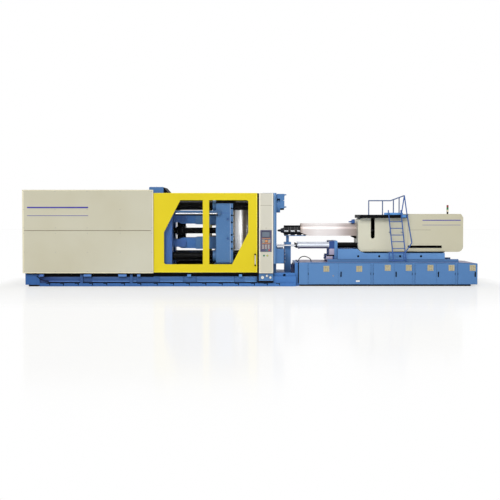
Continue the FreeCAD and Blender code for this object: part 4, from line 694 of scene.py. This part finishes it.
plates("panel_lines", "control_panel", orange_film,
       [((0.413, -1.5150, z - 0.010), (0.715, -1.5135, z + 0.010)) for z in (1.795, 1.600)]
       + [((x, -1.5150, 1.40), (x + 0.006, -1.5135, 1.79)) for x in (0.402, 0.504, 0.612, 0.708)])
KEY, KEY_ACROSS, KEY_UP = 0.025, 0.0305, 0.0315
KEY_FIELDS = ((0.424, 1.626, 3, 4), (0.634, 1.626, 3, 4), (0.424, 1.408, 2, 5), (0.526, 1.408, 2, 5),
              (0.630, 1.408, 2, 5))
plates("panel_keys", "control_panel", key_grey,
       [((left + KEY_ACROSS * column, -1.5225, low + KEY_UP * row),
         (left + KEY_ACROSS * column + KEY, -1.5178, low + KEY_UP * row + KEY), 0.0018)
        for left, low, columns, rows in KEY_FIELDS for column in range(columns) for row in range(rows)])
plates("panel_jog_field", "control_panel", orange_film,
       [((0.526, -1.5215, 1.640), (0.620, -1.5138, 1.735), 0.003)])

COLLAR, COLLAR_THICK = 0.038, 0.007
STANDS_AT = {"control_column": -1.4998, "control_panel": -1.5138}
for button, on, x, z, lens in (
        ("start_button", "control_column", 0.483, 1.153, ("green_lens_plastic", "#1f8f4c", 0.12, 0.2)),
        ("stop_button", "control_column", 0.609, 1.153, ("lime_lens_plastic", "#c9d23a", 0.12, 0.2)),
        ("release_button", "control_panel", 0.583, 1.353, ("teal_lens_plastic", "#1f7f86", 0.12, 0.2)),
        ("emergency_stop", "control_panel", 0.675, 1.353, ("red_lens_plastic", "#d0222a", 0.14, 0.24))):
    paint(smooth_skin(*lens), button)
    face_y = STANDS_AT[on]
    collar = bmesh.new()
    disc(collar, "y", (x, face_y, z), COLLAR, -COLLAR_THICK, 32)
    ends = [face for face in collar.faces
            if min(abs(face.calc_center_median().y - y) for y in (face_y, face_y - COLLAR_THICK)) < 1e-4]
    rims = bmesh.ops.inset_individual(collar, faces=ends, thickness=0.0095)["faces"]
    caps = [face for face in collar.faces if len(face.verts) > 4 and face not in rims]
    bmesh.ops.bridge_loops(collar, edges=list({edge for face in caps for edge in face.edges}))
    bmesh.ops.delete(collar, geom=caps, context="FACES_ONLY")
    piece(f"{button}_collar", on, ground_steel, collar)

# ---------------------------------------------------------------- gauges under the column
# Three pressure gauges on a blue box, with pressed steel cases, white printed dials and black
# needles under glass.
DIAL_Y, MARK_Y, NEEDLE_Y = -1.4515, -1.4535, -1.4548
dial_white = smooth_skin("white_dial_enamel", "#e9e8e2", 0.3, 0.4)
shells("gauge_box", lambda at: abs(at.z - 0.355) < 0.01, "gauge_case", [blue_enamel])
shells("gauge_box", lambda at: abs(at.z - 0.355) > 0.01, "gauge_bodies", [ground_steel])
dials, needles = bmesh.new(), bmesh.new()
for x, z, size, turn in ((0.428, 0.338, 0.058, 50), (0.595, 0.398, 0.042, -35), (0.721, 0.338, 0.042, 110)):
    disc(dials, "y", (x, DIAL_Y, z), size * 0.9, -0.002, 32)
    for mark in range(11):
        angle = math.radians(225 - 27 * mark)
        reach = size * 0.74
        disc(needles, "y", (x + reach * math.cos(angle), MARK_Y, z + reach * math.sin(angle)), size * 0.05,
             -0.001, 8)
    for part in range(9):
        reach = size * 0.6 * part / 8
        disc(needles, "y", (x + reach * math.cos(math.radians(turn)), NEEDLE_Y,
                            z + reach * math.sin(math.radians(turn))), size * (0.09 - 0.006 * part), -0.0012, 8)
piece("gauge_dials", "gauge_box", dial_white, dials)
piece("gauge_needles", "gauge_box", rubber, needles)

# ---------------------------------------------------------------- between the two units
# The welded stand that steadies the barrel, the pull rods, and the lubricator on the bed's end. A
# black strip at the base's end is painted shade of the gap between bed and base, and a stiff black
# hose, 32 mm thick, bows over the base's top.
paint(blue_enamel, "barrel_stand")
paint(bright_chrome, "carriage_pull_rods")
paint(enamel("navy_pump_enamel", "#16224a", "#101a3c"), "grease_pump")
plates("base_end_gap_shade", "injection_base", rubber,
       [((1.7625, 1.120, 0.119), (1.7945, 1.198, 0.880), 0.002)], mirrored=True)
hose("supply_hose_run", "supply_hose", rubber, 0.032,
     [(1.800, -0.800, 0.9153), (1.800, -0.800, 0.990), (1.890, -0.800, 1.075), (2.013, -0.800, 1.105),
      (2.135, -0.800, 1.070), (2.262, -0.800, 0.990), (2.262, -0.800, 0.9153)],
     length=0.661, stiffness="stiff", lay="loose")

# ---------------------------------------------------------------- injection base
# A long welded cabinet on a black plinth. Its doors are flat sheet with tan louvre plates, black
# swing handles and rubber seals, and the oil tank, pumps and racks stand behind them.
DOOR_SKIN = -1.2178    # trim starts just inside the doors' outer faces
PLINTH_TOP = 0.0625
top_face_shade = enamel("mauve_top_face_shade", "#75698c", "#685c7e")
# painted shade: the cabinet's blue darkens along X away from the bed
base_enamel = enamel("cabinet_enamel_shade_ramp", "#5885b9", "#4b76a9", along=(1.8, 8.4))
louvre_tan = enamel("tan_louvre_coat", "#c3b894", "#b9ad87", gloss=0.45, corner_shade=0.25)
# painted shade: the base's upward faces take a dull mauve
dressed("injection_base", [base_enamel, black_enamel, top_face_shade],
        lambda at, normal: 1 if at.z < PLINTH_TOP else (2 if normal.z > 0.9 and at.z > 0.83 else 0))
paint(enamel("grey_hammer_enamel", "#6a6f78", "#5d626b"), "hydraulic_pack")
paint(enamel("light_grey_cabinet_coat", "#c9cbcb", "#bec0c0"), "electric_racks")
# the louvre plates' lower left corners and the handles' middles, by door
LOUVRES = {1: (2.709, 0.543), 2: (3.936, 0.543), 3: (5.002, 0.579), 4: (5.785, 0.579), 5: (6.594, 0.579),
           6: (7.381, 0.579), 7: (8.170, 0.579)}
HANDLES = {2: 3.362, 4: 5.420, 6: 6.997, 7: 8.373}
PLATE, RIM, RIM_FACE = 0.210, 0.006, -1.2205
for number, (left, low) in LOUVRES.items():
    door = f"cabinet_door_{number}"
    dressed(door, [base_enamel, black_enamel],
            lambda at, normal: 1 if at.y < -1.2185 and 0.34 < at.z < 0.54 else 0)
    slats = [((left + 0.004 + 0.069 * column, -1.2245, low + 0.006 + 0.0505 * step),
              (left + 0.068 + 0.069 * column, DOOR_SKIN, low + 0.051 + 0.0505 * step), 0.005)
             for column in range(3) for step in range(4)]
    rims = [((x0, RIM_FACE, z0), (x1, DOOR_SKIN, z1), 0.001) for x0, z0, x1, z1 in (
        (left - RIM, low - RIM, left + PLATE + RIM, low + 0.003),
        (left - RIM, low + 0.207, left + PLATE + RIM, low + PLATE + RIM),
        (left - RIM, low + 0.003, left + 0.0015, low + 0.207),
        (left + 0.2085, low + 0.003, left + PLATE + RIM, low + 0.207))]
    plates(f"louvre_plate_{number}", door, louvre_tan, slats + rims)
    if number in HANDLES:
        x = HANDLES[number]
        grip = bmesh.new()
        slab(grip, (x - 0.022, -1.2225, 0.345), (x + 0.022, DOOR_SKIN, 0.540), 0.004)
        disc(grip, "y", (x, -1.2435, 0.382), 0.011, -0.006, 20)
        piece(f"swing_handle_{number}", door, black_enamel, grip)
seals = []
for left, right in ((2.142, 3.263), (3.267, 4.473), (4.573, 5.351), (5.355, 6.020), (6.132, 6.921),
                    (6.925, 7.624), (7.728, 8.440)):
    seals += [((x - 0.005, -1.2012, 0.072), (x + 0.005, -1.1995, 0.848)) for x in (left, right)]
    seals += [((left, -1.2012, z - 0.005), (right, -1.1995, z + 0.005)) for z in (0.070, 0.850)]
plates("door_seals", "injection_base", rubber, seals)
lock = bmesh.new()
disc(lock, "y", (3.071, DOOR_SKIN, 0.387), 0.030, -0.007, 24)
disc(lock, "y", (3.071, DOOR_SKIN - 0.007, 0.387), 0.014, -0.006, 24)
piece("tank_door_lock", "cabinet_door_1", ground_steel, lock)
plates("tank_door_plate", "cabinet_door_2", dial_white,
       [((3.92, -1.2195, 0.16), (4.06, DOOR_SKIN, 0.215), 0.0006)])

# ---------------------------------------------------------------- carriage
# A welded carriage slides on the base's rails. Two shift cylinders pull the nozzle to the mould,
# and two dark chromed rods guide the plasticising unit.
CYLINDER_Y = 0.68
indigo_enamel = enamel("indigo_machine_enamel", "#294d90", "#22417c")
satin_tube = bare_metal("honed_cylinder_tube", "#b9bec8", 0.30, 0.44, (0.1, 1, 1), 0.05)
# painted shade: the carriage's low upward faces take the shaded blue
dressed("carriage_frame", [enamel("light_carriage_enamel", "#6291c8", "#5886bd"), shaded_blue],
        lambda at, normal: 1 if normal.z > 0.9 and at.z < 1.4 else 0)
dressed("carriage_cylinders", [satin_tube, indigo_enamel, dark_mirror_chrome, black_iron],
        lambda at, normal: 2 if at.x > 3.20 else
        (1 if at.x > 2.962 or at.z < 1.37 else (3 if at.x < 1.7385 else 0)))
plates("pedestal_shrouds", "carriage_cylinders", enamel("lilac_shroud_coat", "#b5aec4", "#a9a1b9"),
       [((2.962, 0.676, 1.152), (3.150, 0.684, 1.380), 0.006),
        ((2.848, 0.676, 0.965), (3.090, 0.684, 1.098), 0.006)], mirrored=True)
plates("pedestal_clamps", "carriage_cylinders", rubber,
       [((2.862, CYLINDER_Y - 0.006, 1.101), (3.154, CYLINDER_Y + 0.006, 1.149), 0.003)], mirrored=True)
plates("housing_foot_seal", "carriage_frame", black_enamel,
       [((4.230, -0.8995, 1.2500), (7.288, -0.7970, 1.2790), 0.003)])
hole_plugs, plate_screws = bmesh.new(), bmesh.new()
for x in (4.034, 4.823, 5.612, 6.397):
    disc(hole_plugs, "y", (x, -0.885, 1.103), 0.041, -0.004, 28)
for y in (-0.6, -0.2, 0.2, 0.6):
    for z in (1.02, 1.24, 1.46, 1.62):
        disc(plate_screws, "x", (3.155, y, z), 0.022, -0.02, 6)
piece("lifting_hole_plugs", "carriage_frame", black_enamel, hole_plugs)
piece("carriage_plate_screws", "carriage_frame", zinc, plate_screws)

# ---------------------------------------------------------------- barrel and its heaters
# A nitrided steel barrel with a screwed nozzle, under a brushed stainless guard. Heat-blackened
# mica bands are clamped round it by screwed steel straps, with bright plates at their sides that
# also stand for the bands' painted highlight, dark lagging between them and one black duct for
# their wires.
BARREL_Z = 2.06
BANDS, FIRST_BAND, BAND_PITCH = 11, 1.263, 0.25
nitrided = bare_metal("nitrided_barrel_steel", "#4b4a4d", 0.30, 0.45, (0.2, 1, 1), 0.03)
clamp_steel = bare_metal("dull_clamp_steel", "#6d6c6e", 0.45, 0.60)
mica_black = enamel("heat_blackened_band", "#121113", "#1c1a1b", mottle=0.3, gloss=0.45, corner_shade=0.2)
# painted reflection: the guard's tone is darker towards both ends, where it mirrors the stand and the housing
brushed_guard = bare_metal("brushed_stainless_guard", "#d9d0cf", 0.44, 0.52, (0.02, 1, 1), bump=0.015)
reflection_along(brushed_guard, 1.90, 4.04, ((0.0, "#94877f"), (0.05, "#c0b7b4"), (0.30, "#d6d1d0"),
                                        (0.62, "#ccc5c4"), (0.80, "#aba09e"), (0.97, "#a0948e")))
paint(nitrided, "barrel", "nozzle")
paint(mica_black, "heater_bands")
paint(ground_steel, "screw")
paint(black_iron, "thrust_block", "drive_plate")
paint(shaded_blue, "screw_motor")
paint(brushed_guard, "barrel_cover")
clamps, lagging, side_plates = bmesh.new(), bmesh.new(), []
for band in range(BANDS):
    x = FIRST_BAND + BAND_PITCH * band
    slab(clamps, (x + 0.004, -0.012, 1.872), (x + 0.176, 0.012, 1.907), 0.003)
    for end in (0.03, 0.15):
        disc(clamps, "y", (x + end, -0.020, 1.889), 0.011, 0.040, 12)
    for edge in (0.004, 0.164):
        disc(clamps, "x", (x + edge, 0, BARREL_Z), 0.1565, 0.012, 48)
    disc(lagging, "x", (x + 0.173, 0, BARREL_Z), 0.151, 0.084, 48)
    side_plates.append(((x + 0.010, 0.147, 2.010), (x + 0.166, 0.159, 2.064), 0.006))
piece("band_lagging", "heater_bands", mica_black, lagging)
piece("band_clamps", "heater_bands", clamp_steel, clamps)
plates("band_side_highlight_plates", "heater_bands", zinc, side_plates, mirrored=True)
plates("band_wire_duct", "heater_bands", black_enamel,
       [((1.262, -0.055, 2.196), (1.894, 0.055, 2.257), 0.012)])
nozzle_nut = bmesh.new()
disc(nozzle_nut, "x", (1.085, 0, BARREL_Z), 0.052, 0.05, 6)
piece("nozzle_hexagon", "nozzle", nitrided, nozzle_nut)

# ---------------------------------------------------------------- injection housing
# A cream sheet housing over the thrust block and the drive. The slot in front shows the feed
# chute, and the lower slot shows the pointer of the screw's stroke.
HOUSING_FACE = -0.7990
HOUSING_MIDDLE = Vector((6.0, 0, 1.98))
inside_shade = enamel("inside_painted_shade", "#232327", "#1a1a1d", gloss=0.6)
# painted shade: the cream darkens along X towards the housing's rear end
housing_coat = enamel("housing_powder_coat", "#d2d0bd", "#beb9a0", gloss=0.42, corner_shade=0.12, along=(4.4, 7.4))


def housing_finish(at, normal):
    """Black as painted shade in the pointer's slot, dark as painted shade on the faces that look inwards, cream on
    the rest.
    """
    if 5.9 < at.x < 7.2 and 1.42 < at.z < 1.4975 and at.y < -0.79 and abs(normal.y) < 0.5:
        return 1
    return 2 if (at - HOUSING_MIDDLE).dot(normal) < 0 else 0


shells("injection_housing", lambda at: at.x > 5.0, "housing_shell", [housing_coat, black_enamel, inside_shade],
       housing_finish)
shells("injection_housing", lambda at: at.x < 5.0, "feed_chute", [ground_steel])
valve = bmesh.new()
slab(valve, (3.860, -0.110, 2.338), (3.985, 0.110, 2.452), 0.012)
slab(valve, (3.800, -0.070, 2.362), (3.861, 0.070, 2.428), 0.008)
disc(valve, "x", (3.800, 0, 2.395), 0.030, -0.046, 20, 0.012)
disc(valve, "z", (3.905, 0, 2.452), 0.038, 0.030, 20)
disc(valve, "z", (3.960, -0.05, 2.452), 0.022, 0.044, 16)
piece("melt_pressure_valve", "barrel_cover", enamel("bright_valve_enamel", "#3f6fb8", "#3762a8"), valve)
tray = bmesh.new()
slab(tray, (3.837, -0.07, 1.741), (4.039, 0.07, 1.859))
for vert in tray.verts:
    if vert.co.x < 3.9:
        vert.co.z = 1.853 if vert.co.z > 1.8 else 1.829
piece("drip_tray", "barrel_cover", black_enamel, tray)
plates("housing_joint_lines", "injection_housing", joint_shade,
       [((5.905, -0.8015, 2.088), (6.772, HOUSING_FACE, 2.098)),
        ((5.912, -0.8015, 1.290), (5.921, HOUSING_FACE, 2.690))])
plates("pointer_slot_edges", "injection_housing", rubber,
       [((5.912, -0.806, low), (7.197, -0.7992, low + 0.011), 0.002) for low in (1.412, 1.494)])
plates("housing_stripes", "injection_housing", indigo_film,
       [((6.46, -0.8012, low), (7.90, -0.7995, high), 0.0006) for low, high in ((2.44, 2.475), (2.27, 2.284))])

# ---------------------------------------------------------------- platform and ladder
# A chequer-plate deck with a black skirt, which is painted shade of its side frame, and tube
# railings stands on the housing. The ladder's tubes are bent, welded and sprayed blue like the rest.
DECK_TOP, RAIL_FOOT = 2.6605, 2.69
TREAD_LOW, TREAD_HIGH = 2.6615, 2.6655
rail_grey = enamel("grey_blue_railing_enamel", "#54688f", "#4b5e85")
paint(enamel("ladder_blue_enamel", "#3c62a4", "#345795"), "ladder")
# painted shade: the deck's side faces are black
dressed("platform", [blue_enamel, black_enamel, rail_grey],
        lambda at, normal: 1 if 2.5 < at.z < DECK_TOP and abs(normal.z) < 0.9 and at.x < 5.875 else
        (2 if at.z > RAIL_FOOT else 0))
plates("ladder_landing_lip", "platform", enamel("light_blue_landing_enamel", "#5c97d6", "#5189c8"),
       [((4.985, -1.046, 2.662), (5.690, -1.010, 2.742), 0.006),
        ((5.640, -1.052, 2.560), (5.815, -1.036, 2.662), 0.004)])
studs = []
for column in range(36):
    for row in range(30):
        x, y = 4.10 + 0.05 * column, -1.01 + 0.06 * row
        if 4.42 < x < 4.76 and abs(y) < 0.28:
            continue    # the opening over the feed chute
        half_x, half_y = (0.013, 0.004) if (column + row) % 2 else (0.004, 0.013)
        studs.append(((x - half_x, y - half_y, TREAD_LOW), (x + half_x, y + half_y, TREAD_HIGH)))
plates("deck_chequers", "platform", ground_steel, studs)

# ---------------------------------------------------------------- signal beacon
# Three moulded lens rings on a black stem: red over green over an unlit cream one. The stem stands
# on the housing's top, where the whole hall sees it.
STEM_TOP, CREAM_TOP, GREEN_TOP = 2.7681, 2.8565, 2.9445
beacon_lenses = [smooth_skin(name, tone, 0.14, 0.22) for name, tone in (
    ("beige_lens_plastic", "#d8cdb4"), ("dark_green_lens_plastic", "#1d7a45"), ("dark_red_lens_plastic", "#8e1b22"))]
dressed("beacon", [black_enamel, *beacon_lenses],
        lambda at, normal: 0 if at.z < STEM_TOP else (1 if at.z < CREAM_TOP else (2 if at.z < GREEN_TOP else 3)))
